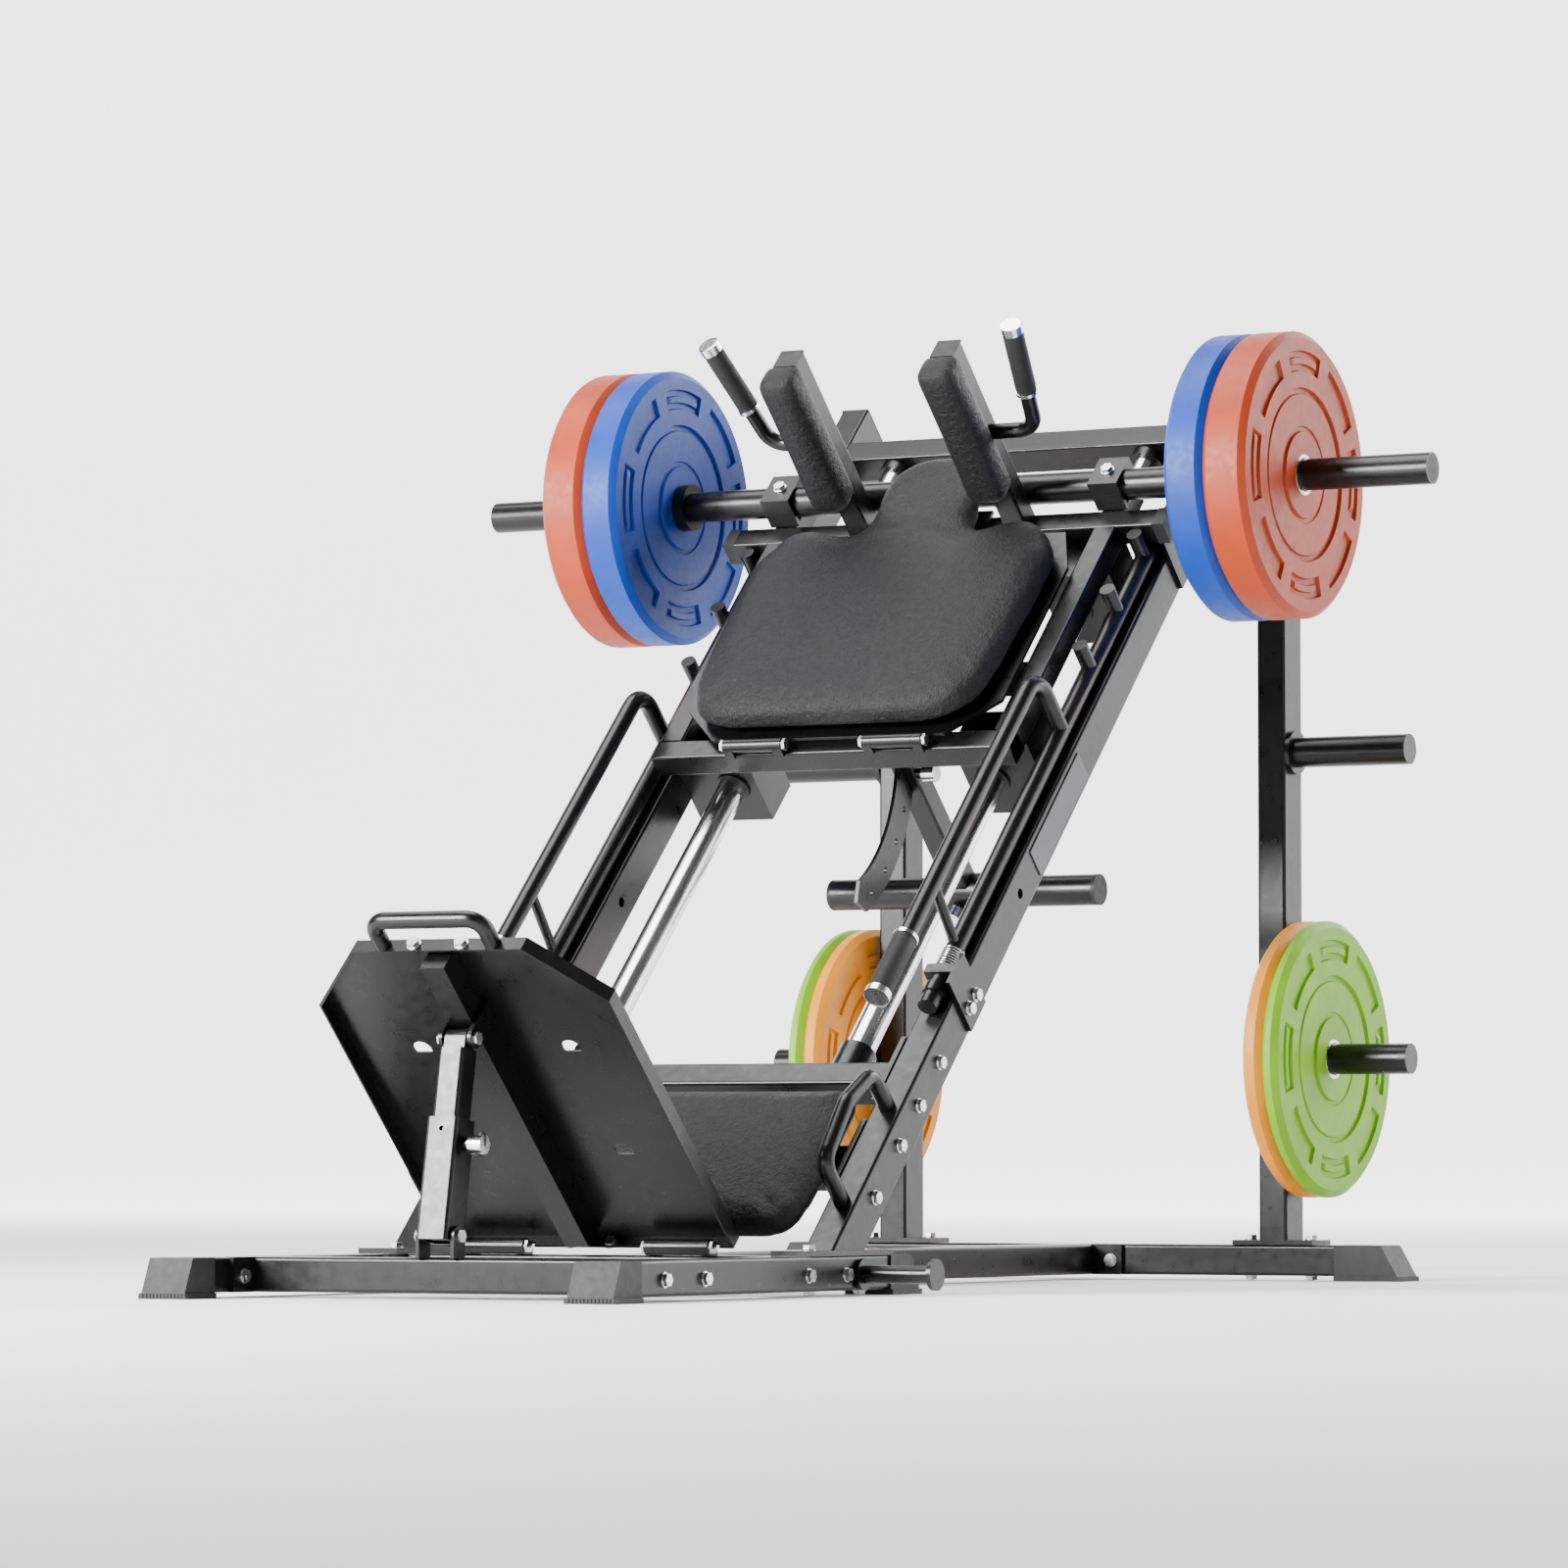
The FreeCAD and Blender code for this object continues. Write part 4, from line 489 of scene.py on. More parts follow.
class LEGPRESS_OT_back_pad(bpy.types.Operator):
    """Make the back pad with its head rest"""
    bl_idname = "legpress.back_pad"
    bl_label = "Back pad"

    def execute(self, context):
        settings = context.scene.leg_press_pads
        low, high = slope_box("back_pad")
        _, sheet_high = slope_box("pad_plate")
        half = high[0] - settings.margin
        bottom = low[1] + settings.margin
        top = high[1] - settings.margin
        shoulder = low[1] + 0.468
        notch = low[1] + 0.437
        neck = half * 0.335
        outline = rounded_outline(mirrored([
            (half - 0.013, bottom, 0.112), (half, bottom + 0.26, 0.2), (half, shoulder - 0.085, 0.10),
            (half * 0.80, shoulder, 0.075), (neck, notch - 0.004, 0.04), (neck, top, neck * 0.98)]))
        under = sheet_high[2] + 0.001
        mesh = slab(outline, under, high[2] - PAD_ROOM, 0.024)
        run, base = 0.02, high[2] - 0.022
        for vertex in mesh.vertices:
            lift = max(0.0, min(1.0, (vertex.co.y - (sheet_high[1] - run)) / run))
            if lift > 0 and vertex.co.z < base:
                vertex.co.z += (base - vertex.co.z) * lift
        make_pad("back_cushion", mesh, settings, "backrest", ["back_pad"], under, high[2])
        return {"FINISHED"}


class LEGPRESS_OT_seat_pad(bpy.types.Operator):
    """Make the seat pad"""
    bl_idname = "legpress.seat_pad"
    bl_label = "Seat pad"

    def execute(self, context):
        settings = context.scene.leg_press_pads
        low, high = slope_box("seat_pad")
        half = high[0] - settings.margin
        bottom, top = low[1] + settings.margin, high[1] - settings.margin
        outline = rounded_outline(mirrored([
            (half - 0.01, bottom, 0.075), (half, bottom + 0.10, 0.1), (half - 0.004, top, 0.03)]))
        under = low[2] + 0.0005
        mesh = slab(outline, under, high[2] - PAD_ROOM, 0.02)
        make_pad("seat_cushion", mesh, settings, "frame", ["seat_pad"], under, high[2])
        return {"FINISHED"}


class LEGPRESS_OT_shoulder_pads(bpy.types.Operator):
    """Make the two shoulder pads"""
    bl_idname = "legpress.shoulder_pads"
    bl_label = "Shoulder pads"

    def execute(self, context):
        settings = context.scene.leg_press_pads
        for side in ("right", "left"):
            low, high = slope_box("shoulder_pad_" + side)
            middle = (low[0] + high[0]) / 2
            half = (high[0] - low[0]) / 2 - settings.margin
            tall = high[2] - low[2] - settings.margin * 2
            corner = 0.02
            outline = rounded_outline([(-half, -tall / 2, corner), (half, -tall / 2, corner),
                                       (half, tall / 2, corner), (-half, tall / 2, corner)])
            depth = high[1] - low[1]
            mesh = slab(outline, 0.0, depth - PAD_ROOM, 0.016)
            centre = (low[2] + high[2]) / 2
            back = high[1]

            def turn(points, middle=middle, centre=centre, back=back):
                return to_world(np.column_stack((middle + points[:, 0], back - points[:, 2],
                                                 centre + points[:, 1])))

            piece = make_pad("shoulder_cushion_" + side, mesh, settings, "carriage",
                             ["shoulder_pad_" + side], 0.0, depth, turn)
            if needs_flip(piece.data):
                piece.data.flip_normals()
        return {"FINISHED"}


def needs_flip(mesh):
    """True if a closed mesh is inside out."""
    shape = bmesh.new()
    shape.from_mesh(mesh)
    inside_out = shape.calc_volume(signed=True) < 0
    shape.free()
    return inside_out


# ------------------------------------------------------------------ weight discs


def disc_mesh(radius, bore, thick, settings):
    """Weight disc about X: bevelled rim, stepped web, sunk arcs and a raised hub on both faces."""
    band_low, band_high = radius * 0.72, radius * 0.865
    inset = radius * 0.045
    step = 0.0016
    sink = settings.depth
    zones = [(0.30, 0.0), (0.335, -0.0045), (0.56, -0.0022), (0.60, -0.0052), (0.665, 0.0)]
    radii = [bore]
    for share, _ in zones[:-1]:
        radii += [radius * share, radius * share + step]
    radii += [radius * 0.665, band_low, band_low + step, band_low + inset, band_low + inset + step,
              band_high - inset - step, band_high - inset, band_high - step, band_high,
              radius - settings.bevel]
    pitch = 360 / settings.pockets
    half_arc = pitch * 0.38
    angles = []
    for pocket in range(settings.pockets):
        middle = pocket * pitch
        marks = [-pitch / 2, -half_arc - 0.35, -half_arc + 0.35, half_arc - 0.35, half_arc + 0.35]
        steps = list(np.linspace(-half_arc + 3, half_arc - 3, 15))
        angles += [middle + mark for mark in sorted(marks + steps)]
    angles = np.array(angles)

    def height(distance, angle):
        """Relief of the face: rings between the hub and the band, then sunk arcs round the band."""
        if distance < band_low:
            return next(level for share, level in zones if distance <= radius * share + step / 2)
        turned = abs((angle + pitch / 2) % pitch - pitch / 2)
        if not (band_low + step / 2 <= distance <= band_high - step / 2 and turned < half_arc):
            return 0.0
        barred = int(round(angle / pitch)) % 2 == 0
        on_bar = band_low + inset + step / 2 < distance < band_high - inset - step / 2
        return -sink * 0.15 if barred and on_bar and turned < half_arc - 3 else -sink

    shape = bmesh.new()
    sides = []
    for face in (1, -1):
        rings = []
        for distance in radii:
            rings.append([shape.verts.new((
                face * (thick / 2 + height(distance, angle)),
                distance * math.cos(math.radians(angle)), distance * math.sin(math.radians(angle))))
                for angle in angles])
        rim = thick / 2 - settings.bevel * 0.8
        for distance, x in ((radius - 0.0006, rim), (radius, rim - 0.0008)):
            rings.append([shape.verts.new((face * x, distance * math.cos(math.radians(angle)),
                                           distance * math.sin(math.radians(angle)))) for angle in angles])
        sides.append(rings)
    count = len(angles)
    strips = list(zip(sides[0], sides[0][1:])) + [(sides[0][-1], sides[1][-1])]
    strips += [(outer, inner) for inner, outer in reversed(list(zip(sides[1], sides[1][1:])))]
    strips += [(sides[1][0], sides[0][0])]
    for first, second in strips:
        for index in range(count):
            following = (index + 1) % count
            shape.faces.new((first[index], first[following], second[following], second[index]))
    bmesh.ops.recalc_face_normals(shape, faces=shape.faces)
    mesh = bpy.data.meshes.new("disc")
    shape.to_mesh(mesh)
    shape.free()
    return mesh


def hub_mesh(radius, bore, thick):
    """Pressed steel hub: a short sleeve with a bevelled lip at each face."""
    profile = [(bore, thick / 2 - 0.001), (bore + 0.0012, thick / 2), (radius - 0.001, thick / 2),
               (radius, thick / 2 - 0.001)]
    ring = profile + [(distance, -x) for distance, x in reversed(profile)]
    shape = bmesh.new()
    turns = 72
    loops = [[shape.verts.new((x, distance * math.cos(2 * math.pi * turn / turns),
                               distance * math.sin(2 * math.pi * turn / turns))) for distance, x in ring]
             for turn in range(turns)]
    for turn in range(turns):
        here, there = loops[turn], loops[(turn + 1) % turns]
        for index in range(len(ring)):
            following = (index + 1) % len(ring)
            shape.faces.new((here[index], there[index], there[following], here[following]))
    bmesh.ops.recalc_face_normals(shape, faces=shape.faces)
    mesh = bpy.data.meshes.new("hub")
    shape.to_mesh(mesh)
    shape.free()
    return mesh


def sharpen(mesh, degrees):
    """Marks the edges sharper than an angle, so that flats stay flat under smooth shading."""
    shape = bmesh.new()
    shape.from_mesh(mesh)
    for edge in shape.edges:
        edge.smooth = len(edge.link_faces) == 2 and edge.calc_face_angle(0) < math.radians(degrees)
    shape.to_mesh(mesh)
    shape.free()


class LEGPRESS_OT_discs(bpy.types.Operator):
    """Make the weight discs on the bar and on the storage pegs"""
    bl_idname = "legpress.discs"
    bl_label = "Weight discs"

    def execute(self, context):
        settings = context.scene.leg_press_discs
        for side, way in (("right", 1), ("left", -1)):
            for kind, colour in (("inner", "blue"), ("outer", "orange")):
                node = "%s_disc_%s" % (kind, side)
                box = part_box(node)
                self.place(node, node, box, (box[0][0], box[1][0]), colour, "discs_" + side, settings)
            box = low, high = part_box("storage_discs_" + side)
            total = high[0] - low[0]
            gap = 0.0002
            split = low[0] + total * YELLOW_SHARE if way > 0 else high[0] - total * YELLOW_SHARE
            inner, outer = (low[0], split - gap), (split + gap, high[0])
            near, far = (inner, outer) if way > 0 else (outer, inner)
            node = "storage_discs_" + side
            self.place("storage_yellow_" + side, node, box, near, "yellow", "store_" + side, settings)
            self.place("storage_green_" + side, node, box, far, "green", "store_" + side, settings)
        return {"FINISHED"}

    def place(self, name, node, box, reach, colour, body, settings):
        """Disc and hub in place of a CAD node, inside its box and between two X values."""
        low, high = box
        thick = reach[1] - reach[0]
        radius = (high[2] - low[2]) / 2
        centre = np.array((sum(reach) / 2, (low[1] + high[1]) / 2, (low[2] + high[2]) / 2))
        slot = {"blue": "disc_blue", "orange": "disc_orange"}.get(colour, "disc_yellow_green")
        body_piece = new_piece(name + "_rubber", disc_mesh(radius, HUB_RADIUS, thick, settings),
                               MATERIALS[colour])
        hub_piece = new_piece(name + "_hub", hub_mesh(HUB_RADIUS, HUB_BORE, thick - HUB_RECESS),
                              MATERIALS["hub"])
        for piece, which in ((body_piece, slot), (hub_piece, "zinc_steel")):
            put_coordinates(piece.data, coordinates(piece.data) + centre)
            sharpen(piece.data, 28)
            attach(piece, body)
            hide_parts(node)


# ------------------------------------------------------------------ repeated small parts


def input_named(modifier, name):
    """Identifier of a modifier's input socket."""
    for item in modifier.node_group.interface.items_tree:
        if item.item_type == "SOCKET" and item.in_out == "INPUT" and item.name == name:
            return item.identifier
    raise KeyError(name)


def geometry_tree(name, inputs):
    """Geometry tree with a geometry output and named number inputs."""
    tree = bpy.data.node_groups.new(name, "GeometryNodeTree")
    tree.interface.new_socket("Geometry", in_out="OUTPUT", socket_type="NodeSocketGeometry")
    for label, kind in inputs:
        tree.interface.new_socket(label, in_out="INPUT", socket_type=kind)
    return tree, tree.nodes.new("NodeGroupInput"), tree.nodes.new("NodeGroupOutput")


def coil_tree(material):
    """Coil spring along Z: a spiral swept with a round wire."""
    tree, given, result = geometry_tree("coil_spring", [
        ("Turns", "NodeSocketFloat"), ("Radius", "NodeSocketFloat"), ("Height", "NodeSocketFloat"),
        ("Wire", "NodeSocketFloat")])
    spiral = tree.nodes.new("GeometryNodeCurveSpiral")
    spiral.inputs["Resolution"].default_value = 32
    tree.links.new(given.outputs["Turns"], spiral.inputs["Rotations"])
    tree.links.new(given.outputs["Radius"], spiral.inputs["Start Radius"])
    tree.links.new(given.outputs["Radius"], spiral.inputs["End Radius"])
    tree.links.new(given.outputs["Height"], spiral.inputs["Height"])
    wire = tree.nodes.new("GeometryNodeCurvePrimitiveCircle")
    wire.inputs["Resolution"].default_value = 10
    tree.links.new(given.outputs["Wire"], wire.inputs["Radius"])
    sweep = tree.nodes.new("GeometryNodeCurveToMesh")
    sweep.inputs["Fill Caps"].default_value = True
    tree.links.new(spiral.outputs["Curve"], sweep.inputs["Curve"])
    tree.links.new(wire.outputs["Curve"], sweep.inputs["Profile Curve"])
    finish_tree(tree, sweep.outputs["Mesh"], result, material)
    return tree


def rib_tree(material):
    """Row of small blocks along X, used as the tread of a sole."""
    tree, given, result = geometry_tree("tread_row", [
        ("Count", "NodeSocketInt"), ("Pitch", "NodeSocketFloat"), ("Block", "NodeSocketVector")])
    line = tree.nodes.new("GeometryNodeMeshLine")
    offset = tree.nodes.new("ShaderNodeCombineXYZ")
    tree.links.new(given.outputs["Pitch"], offset.inputs["X"])
    tree.links.new(offset.outputs["Vector"], line.inputs["Offset"])
    tree.links.new(given.outputs["Count"], line.inputs["Count"])
    cube = tree.nodes.new("GeometryNodeMeshCube")
    tree.links.new(given.outputs["Block"], cube.inputs["Size"])
    spots = tree.nodes.new("GeometryNodeInstanceOnPoints")
    tree.links.new(line.outputs["Mesh"], spots.inputs["Points"])
    tree.links.new(cube.outputs["Mesh"], spots.inputs["Instance"])
    finish_tree(tree, spots.outputs["Instances"], result, material)
    return tree


def bolt_tree(material):
    """Row of washers with hex heads along X, standing up Z."""
    tree, given, result = geometry_tree("bolt_heads", [
        ("Count", "NodeSocketInt"), ("Pitch", "NodeSocketFloat"), ("Washer", "NodeSocketFloat"),
        ("Washer height", "NodeSocketFloat"), ("Head", "NodeSocketFloat"),
        ("Head height", "NodeSocketFloat")])
    line = tree.nodes.new("GeometryNodeMeshLine")
    offset = tree.nodes.new("ShaderNodeCombineXYZ")
    tree.links.new(given.outputs["Pitch"], offset.inputs["X"])
    tree.links.new(offset.outputs["Vector"], line.inputs["Offset"])
    tree.links.new(given.outputs["Count"], line.inputs["Count"])
    join = tree.nodes.new("GeometryNodeJoinGeometry")
    floor = None
    for sides, radius, height in ((32, "Washer", "Washer height"), (6, "Head", "Head height")):
        disc = tree.nodes.new("GeometryNodeMeshCylinder")
        disc.inputs["Vertices"].default_value = sides
        tree.links.new(given.outputs[radius], disc.inputs["Radius"])
        tree.links.new(given.outputs[height], disc.inputs["Depth"])
        half = tree.nodes.new("ShaderNodeMath")
        half.operation = "MULTIPLY_ADD"
        half.inputs[1].default_value = 0.5
        half.inputs[2].default_value = 0.0
        tree.links.new(given.outputs[height], half.inputs[0])
        if floor is not None:
            tree.links.new(floor, half.inputs[2])
        floor = given.outputs["Washer height"]
        lift = tree.nodes.new("ShaderNodeCombineXYZ")
        tree.links.new(half.outputs["Value"], lift.inputs["Z"])
        move = tree.nodes.new("GeometryNodeTransform")
        tree.links.new(disc.outputs["Mesh"], move.inputs["Geometry"])
        tree.links.new(lift.outputs["Vector"], move.inputs["Translation"])
        tree.links.new(move.outputs["Geometry"], join.inputs["Geometry"])
    spots = tree.nodes.new("GeometryNodeInstanceOnPoints")
    tree.links.new(line.outputs["Mesh"], spots.inputs["Points"])
    tree.links.new(join.outputs["Geometry"], spots.inputs["Instance"])
    finish_tree(tree, spots.outputs["Instances"], result, material)
    return tree


def finish_tree(tree, geometry, result, material):
    real = tree.nodes.new("GeometryNodeRealizeInstances")
    coat = tree.nodes.new("GeometryNodeSetMaterial")
    coat.inputs["Material"].default_value = material
    tree.links.new(geometry, real.inputs["Geometry"])
    tree.links.new(real.outputs["Geometry"], coat.inputs["Geometry"])
    tree.links.new(coat.outputs["Geometry"], result.inputs["Geometry"])


def grown(name, tree, values, material):
    """Plain mesh piece made by a geometry tree with the given inputs."""
    piece = new_piece(name, bpy.data.meshes.new(name), material)
    modifier = piece.modifiers.new(name, "NODES")
    modifier.node_group = tree
    for label, value in values.items():
        modifier[input_named(modifier, label)] = value
    settle(piece)
    piece.data.materials.clear()
    piece.data.materials.append(material)
    return piece


class LEGPRESS_OT_springs(bpy.types.Operator):
    """Make the coil springs on the lock bars"""
    bl_idname = "legpress.springs"
    bl_label = "Lock springs"

    turns: FloatProperty(name="Turns", description="Coils in each spring", default=8.0, min=1.0)
    wire: FloatProperty(name="Wire", description="Radius of the wire", unit="LENGTH", default=0.00105)

    def execute(self, context):
        tree = coil_tree(MATERIALS["chrome"])
        low, high = slope_box("lock_springs")
        out = (low[2] + high[2]) / 2
        radius = (high[2] - low[2]) / 2 - self.wire
        tall = high[1] - low[1] - self.wire * 2
        for name, x in (("right", high[0] - radius - self.wire), ("left", low[0] + radius + self.wire)):
            piece = grown("lock_spring_" + name, tree, {"Turns": self.turns, "Radius": radius,
                                                        "Height": tall, "Wire": self.wire},
                          MATERIALS["chrome"])
            points = coordinates(piece.data)
            moved = np.column_stack((x + points[:, 0], low[1] + self.wire + points[:, 2],
                                     out - points[:, 1]))
            put_coordinates(piece.data, to_world(moved))
            smooth_faces(piece.data)
            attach(piece, "frame")
            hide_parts("lock_springs")
        return {"FINISHED"}


class LEGPRESS_OT_treads(bpy.types.Operator):
    """Make the ribbed tread along the soles of the boots"""
    bl_idname = "legpress.treads"
    bl_label = "Sole treads"

    pitch: FloatProperty(name="Pitch", description="Distance between ribs", unit="LENGTH", default=0.006)
    rib: FloatProperty(name="Rib", description="Width of a rib", unit="LENGTH", default=0.003)

    def execute(self, context):
        tree = rib_tree(MATERIALS["boot"])
        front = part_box("floor_boots")[0][1]
        rail_low, rail_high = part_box("base_rails")
        proud, tall, height = 0.0012, 0.0062, 0.0042
        count = 12
        boot_middle = 0.034
        centre = (rail_low[0] + rail_high[0]) / 2
        for name, middle in (("right", centre + rail_high[0] - boot_middle),
                             ("left", centre + rail_low[0] + boot_middle)):
            piece = grown("front_tread_" + name, tree,
                          {"Count": count, "Pitch": self.pitch, "Block": (self.rib, proud * 2, tall)},
                          MATERIALS["boot"])
            points = coordinates(piece.data)
            shift = (middle - self.pitch * (count - 1) / 2, front, height)
            put_coordinates(piece.data, points + np.array(shift))
            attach(piece, "frame")
        return {"FINISHED"}


class LEGPRESS_OT_foot_plate_parts(bpy.types.Operator):
    """Make the bolts at the foot of the plate's rib and the wing of the strut's pin"""
    bl_idname = "legpress.foot_plate_parts"
    bl_label = "Foot plate parts"

    spread: FloatProperty(name="Spread", description="Distance between the two bolts", unit="LENGTH",
                          default=0.066)
    wing: FloatProperty(name="Wing", description="Reach of the wing from its pin", unit="LENGTH",
                        default=0.019)

    def execute(self, context):
        tree = bolt_tree(MATERIALS["zinc"])
        low, high = slope_box("foot_plate")
        seat = 0.0032
        inset = 0.0145
        piece = grown("rib_foot_bolts", tree, {
            "Count": 2, "Pitch": self.spread, "Washer": 0.0105, "Washer height": 0.0016,
            "Head": 0.0095, "Head height": 0.0065}, MATERIALS["zinc"])
        points = coordinates(piece.data)
        put_coordinates(piece.data, to_world(np.column_stack((
            points[:, 0] - self.spread / 2, high[1] - inset + points[:, 1],
            low[2] + seat + points[:, 2]))))
        if needs_flip(piece.data):
            piece.data.flip_normals()
        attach(piece, "foot")
        self.pin_wing()
        return {"FINISHED"}

    def pin_wing(self):
        low, high = (Vector(corner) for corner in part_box("strut_pull_pin"))
        centre = (low + high) / 2
        inset = 0.008
        centre.x = high.x - inset
        lean = Vector((0.25, 0.0, 1.0)).normalized()
        profile = [(0.0, 0.001), (0.02, 0.0035), (0.12, 0.0058), (0.5, 0.0085), (0.88, 0.0058),
                   (0.98, 0.0035), (1.0, 0.001)]
        wing = turned_sleeve("strut_pin_wing", profile, centre - lean * self.wing,
                             centre + lean * self.wing, MATERIALS["rubber"])
        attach(wing, "strut_pin")


# ------------------------------------------------------------------ grips


def turned_sleeve(name, profile, start, end, material, turns=48):
    """Sleeve turned about the line from start to end; profile is (share of the length, radius)."""
    axis = end - start
    length = axis.length
    rotation = axis.to_track_quat("Z", "Y")
    shape = bmesh.new()
    rings = []
    for share, radius in profile:
        ring = []
        for turn in range(turns):
            angle = 2 * math.pi * turn / turns
            point = Vector((radius * math.cos(angle), radius * math.sin(angle), share * length))
            ring.append(shape.verts.new(start + rotation @ point))
        rings.append(ring)
    for lower, upper in zip(rings, rings[1:]):
        for turn in range(turns):
            following = (turn + 1) % turns
            shape.faces.new((lower[turn], lower[following], upper[following], upper[turn]))
    shape.faces.new(list(reversed(rings[0])))
    shape.faces.new(rings[-1])
    bmesh.ops.recalc_face_normals(shape, faces=shape.faces)
    mesh = bpy.data.meshes.new(name)
    shape.to_mesh(mesh)
    shape.free()
    piece = new_piece(name, mesh, material)
    sharpen(piece.data, 40)
    return piece


def sleeve_profile(radius, bevel):
    """Closed sleeve with softened ends."""
    return [(0.0, radius * 0.6), (0.0, radius - bevel), (0.012, radius - bevel * 0.3), (0.03, radius),
            (0.97, radius), (0.988, radius - bevel * 0.3), (1.0, radius - bevel), (1.0, radius * 0.6)]


class LEGPRESS_OT_grips(bpy.types.Operator):
    """Make the hand grips and lever grips with their chrome rings"""
    bl_idname = "legpress.grips"
    bl_label = "Grips"

    def execute(self, context):
        for side, way in (("right", 1), ("left", -1)):
            self.hand_grip(side, way)
            self.lever_grip(side)
        return {"FINISHED"}

    def hand_grip(self, side, way):
        low, high = slope_box("grip_tubes")
        foam_low = slope_box("hand_grips")[0]
        radius = 0.0168
        out_top = high[2] - 0.002
        middle = (low[1] + high[1]) / 2
        outer = high[0] - 0.0123
        lean = 33.0 / 206.0          # sideways run over the run out from the frame
        top = Vector((outer * way, middle, out_top))
        root_out = foam_low[2] + 0.003
        root = Vector(((outer - (out_top - root_out) * lean) * way, middle, root_out))
        points = [Vector(to_world([list(point)])[0]) for point in (root, top)]
        axis = (points[1] - points[0]).normalized()
        total = (points[1] - points[0]).length
        ring = 0.006
        cap = 0.016
        foam = turned_sleeve("hand_grip_" + side, sleeve_profile(radius, 0.002), points[0] + axis * ring,
                             points[1] - axis * (cap - 0.004), MATERIALS["foam"])
        collar = turned_sleeve("hand_ring_" + side, sleeve_profile(radius + 0.0012, 0.0012), points[0],
                               points[0] + axis * ring, MATERIALS["chrome"])
        end = turned_sleeve("hand_cap_" + side, sleeve_profile(radius + 0.0008, 0.0018),
                            points[0] + axis * (total - cap + 0.004), points[1] + axis * 0.0035,
                            MATERIALS["chrome"])
        for piece, slot in ((foam, "black_rubber"), (collar, "chrome_steel"), (end, "chrome_steel")):
            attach(piece, "carriage")
            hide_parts("hand_grips")

    def lever_grip(self, side):
        node = "lock_grip_" + side
        low, high = slope_box(node)
        x = (low[0] + high[0]) / 2
        out = (low[2] + high[2]) / 2
        radius = (high[0] - low[0]) / 2
        cap, ring, step = 0.012, 0.007, 0.0015
        marks = [low[1], low[1] + cap, high[1] - ring, high[1]]
        spots = [Vector(to_world([[x, mark, out]])[0]) for mark in marks]
        for index, (name, size, finish) in enumerate((("lever_cap_", radius, "chrome"),
                                                      ("lever_grip_", radius - step, "foam"),
                                                      ("lever_ring_", radius, "chrome"))):
            piece = turned_sleeve(name + side, sleeve_profile(size, 0.0014), spots[index], spots[index + 1],
                                  MATERIALS[finish])
            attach(piece, "lock_" + side)
            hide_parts(node)


# ------------------------------------------------------------------ stage


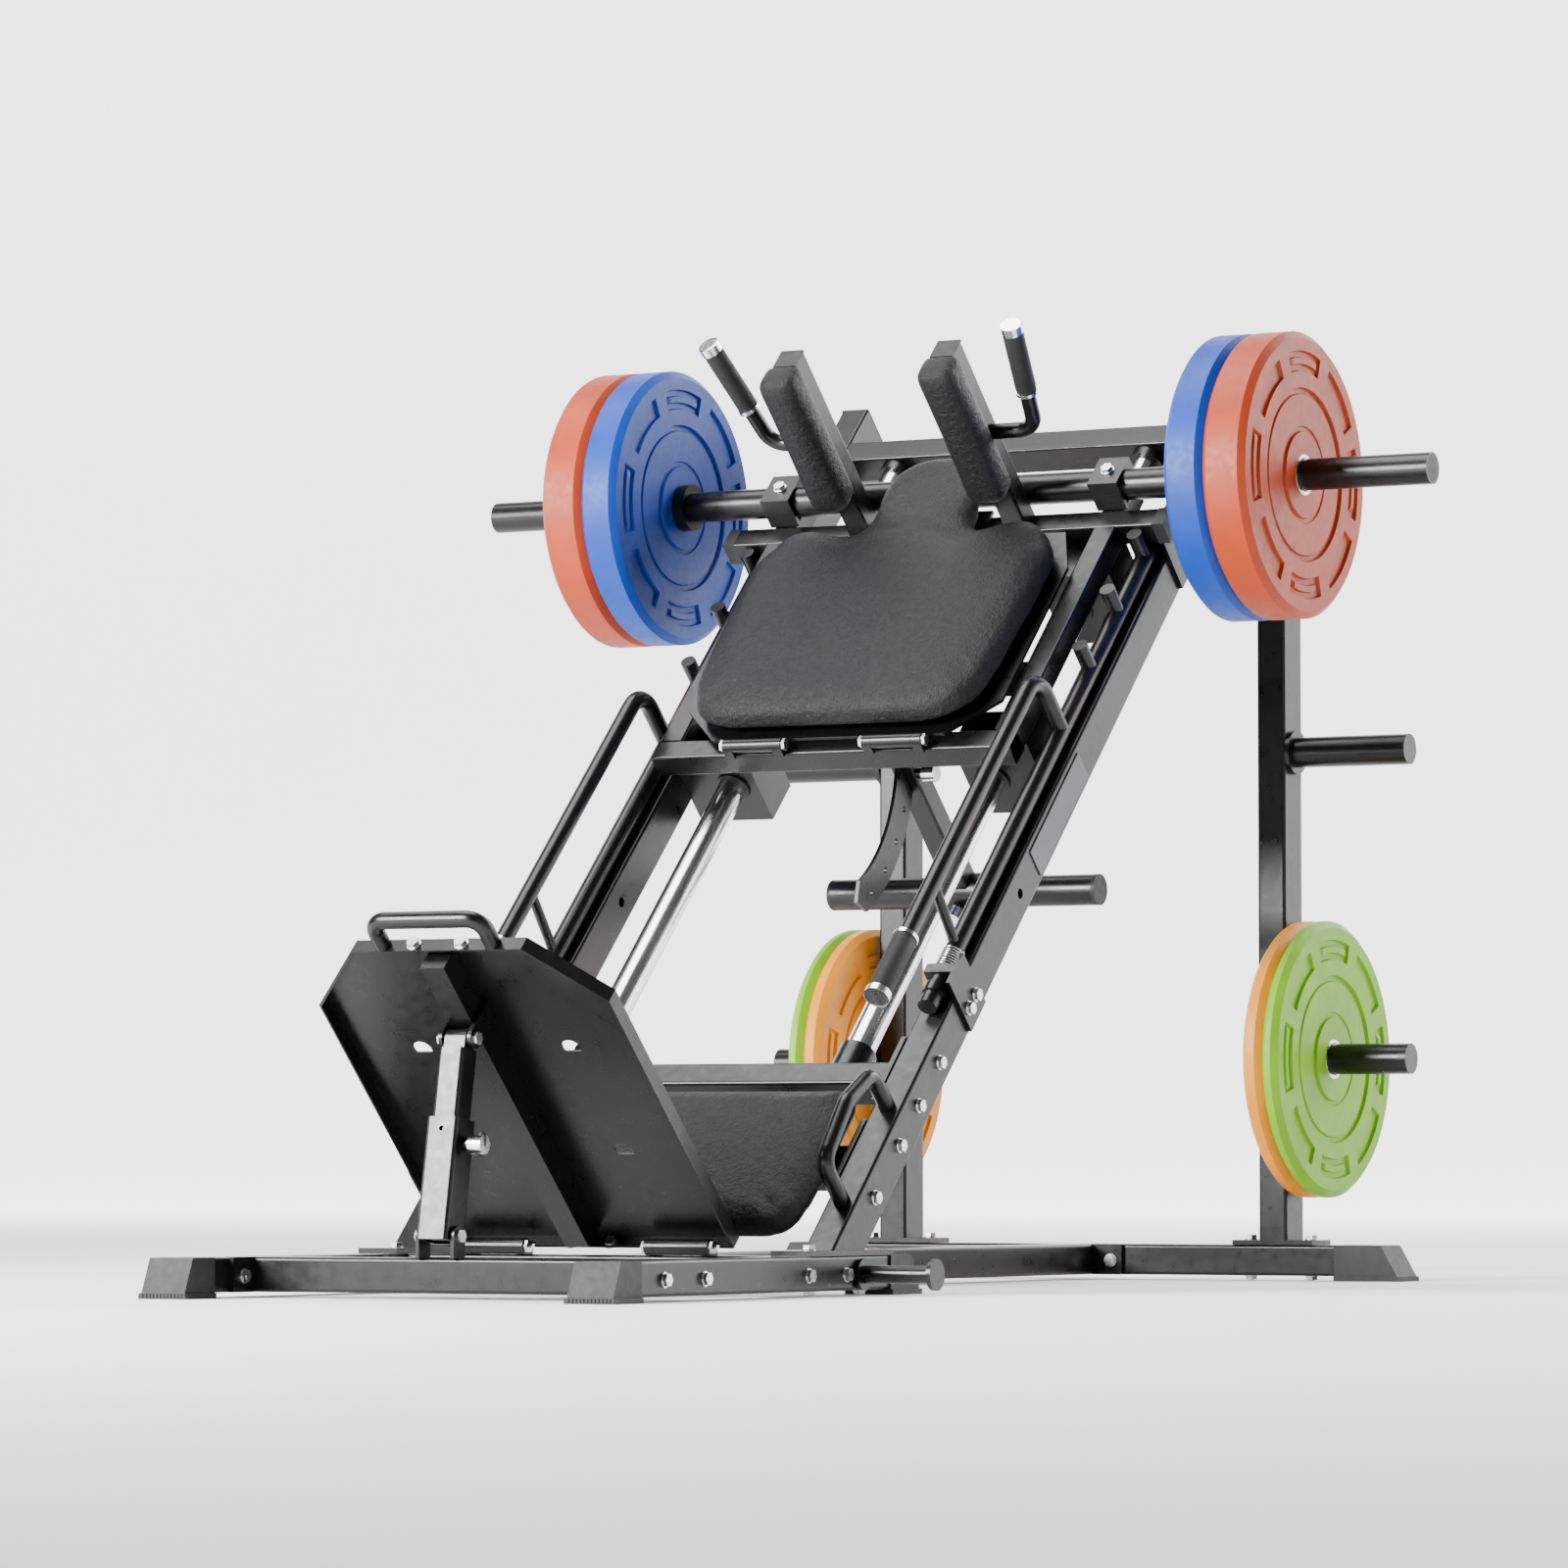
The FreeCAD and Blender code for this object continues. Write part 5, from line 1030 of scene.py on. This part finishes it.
class LEGPRESS_OT_stage(bpy.types.Operator):
    """Make the floor, the soft lights and the camera"""
    bl_idname = "legpress.stage"
    bl_label = "Studio"

    def execute(self, context):
        settings = context.scene.leg_press_stage
        self.floor(settings)
        self.camera(context, settings)
        self.lights(settings)
        self.sky(context, settings)
        return {"FINISHED"}

    def floor(self, settings):
        """Flat floor that curves up far behind the machine."""
        shape = bmesh.new()
        half, near_end, flat_end, bend, top = 80.0, -25.0, 14.0, 6.0, 26.0
        path = [(near_end, 0.0), (flat_end, 0.0)]
        path += [(flat_end + bend * math.sin(turn), bend * (1 - math.cos(turn)))
                 for turn in np.linspace(0.1, math.pi / 2, 12)]
        path += [(flat_end + bend, top)]
        rows = [[shape.verts.new((x, y, z)) for x in (-half, half)] for y, z in path]
        for near, far in zip(rows, rows[1:]):
            shape.faces.new((near[0], near[1], far[1], far[0]))
        mesh = bpy.data.meshes.new("studio_floor")
        shape.to_mesh(mesh)
        shape.free()
        new_piece("studio_floor", mesh, floor_finish(settings.wall))

    def camera(self, context, settings):
        front = CAD_BOX[0][1]
        aside, back, height = 5.268, 8.116, 0.195
        azimuth, elevation = math.radians(29.6), math.radians(3.1)
        data = bpy.data.cameras.new("camera")
        data.lens = settings.lens
        data.sensor_width = 36.0
        data.clip_end = 200.0
        camera = bpy.data.objects.new("camera", data)
        bpy.context.scene.collection.objects.link(camera)
        camera.location = (aside, front - back, height)
        view = Vector((-math.sin(azimuth) * math.cos(elevation), math.cos(azimuth) * math.cos(elevation),
                       math.sin(elevation)))
        camera.rotation_euler = view.to_track_quat("-Z", "Y").to_euler()
        context.scene.camera = camera

    def lights(self, settings):
        spots = [("key", (-3.0, -5.8, 2.5), 2.2, settings.key),
                 ("top", (-1.2, -0.4, 5.4), 3.4, settings.top),
                 ("back", (2.6, 4.6, 3.6), 2.6, settings.top * 0.5),
                 ("right", (5.2, -3.0, 2.2), 2.2, settings.fill)]
        for name, where, size, power in spots:
            data = bpy.data.lights.new(name, "AREA")
            data.shape = "SQUARE"
            data.size = size
            data.energy = power
            light = bpy.data.objects.new(name, data)
            bpy.context.scene.collection.objects.link(light)
            light.location = where
            aim = Vector((0, 0.1, 0.75)) - Vector(where)
            light.rotation_euler = aim.to_track_quat("-Z", "Y").to_euler()

    def sky(self, context, settings):
        world = bpy.data.worlds.new("studio")
        world.use_nodes = True
        background = world.node_tree.nodes["Background"]
        background.inputs["Color"].default_value = (1, 1, 1, 1)
        background.inputs["Strength"].default_value = settings.sky
        context.scene.world = world


# ------------------------------------------------------------------ panel and registration


class LEGPRESS_PT_panel(bpy.types.Panel):
    """Buttons for each group of pieces"""
    bl_idname = "LEGPRESS_PT_panel"
    bl_label = "Leg press"
    bl_space_type = "VIEW_3D"
    bl_region_type = "UI"
    bl_category = "Leg press"

    def draw(self, context):
        for operator in OPERATORS:
            self.layout.operator(operator.bl_idname)
        for group in ("leg_press_frame", "leg_press_pads", "leg_press_discs", "leg_press_stage"):
            settings = getattr(context.scene, group)
            for name in settings.__annotations__:
                self.layout.prop(settings, name)


SETTINGS = {"leg_press_frame": FrameSettings, "leg_press_pads": PadSettings,
            "leg_press_discs": DiscSettings, "leg_press_stage": StageSettings}
OPERATORS = (LEGPRESS_OT_stage, LEGPRESS_OT_materials, LEGPRESS_OT_discs, LEGPRESS_OT_springs,
             LEGPRESS_OT_treads, LEGPRESS_OT_foot_plate_parts, LEGPRESS_OT_grips,
             LEGPRESS_OT_shoulder_pads, LEGPRESS_OT_seat_pad, LEGPRESS_OT_back_pad)


def register():
    for kind in (*SETTINGS.values(), *OPERATORS, LEGPRESS_PT_panel):
        bpy.utils.register_class(kind)
    for name, kind in SETTINGS.items():
        setattr(bpy.types.Scene, name, PointerProperty(type=kind))


def unregister():
    for name in SETTINGS:
        delattr(bpy.types.Scene, name)
    for kind in reversed((*SETTINGS.values(), *OPERATORS, LEGPRESS_PT_panel)):
        bpy.utils.unregister_class(kind)


def main():
    register()
    bpy.ops.legpress.stage()
    bpy.ops.legpress.materials()
    bpy.ops.legpress.discs()
    bpy.ops.legpress.springs()
    bpy.ops.legpress.treads()
    bpy.ops.legpress.foot_plate_parts()
    bpy.ops.legpress.grips()
    bpy.ops.legpress.shoulder_pads()
    bpy.ops.legpress.seat_pad()
    bpy.ops.legpress.back_pad()


if __name__ == "__main__":
    main()
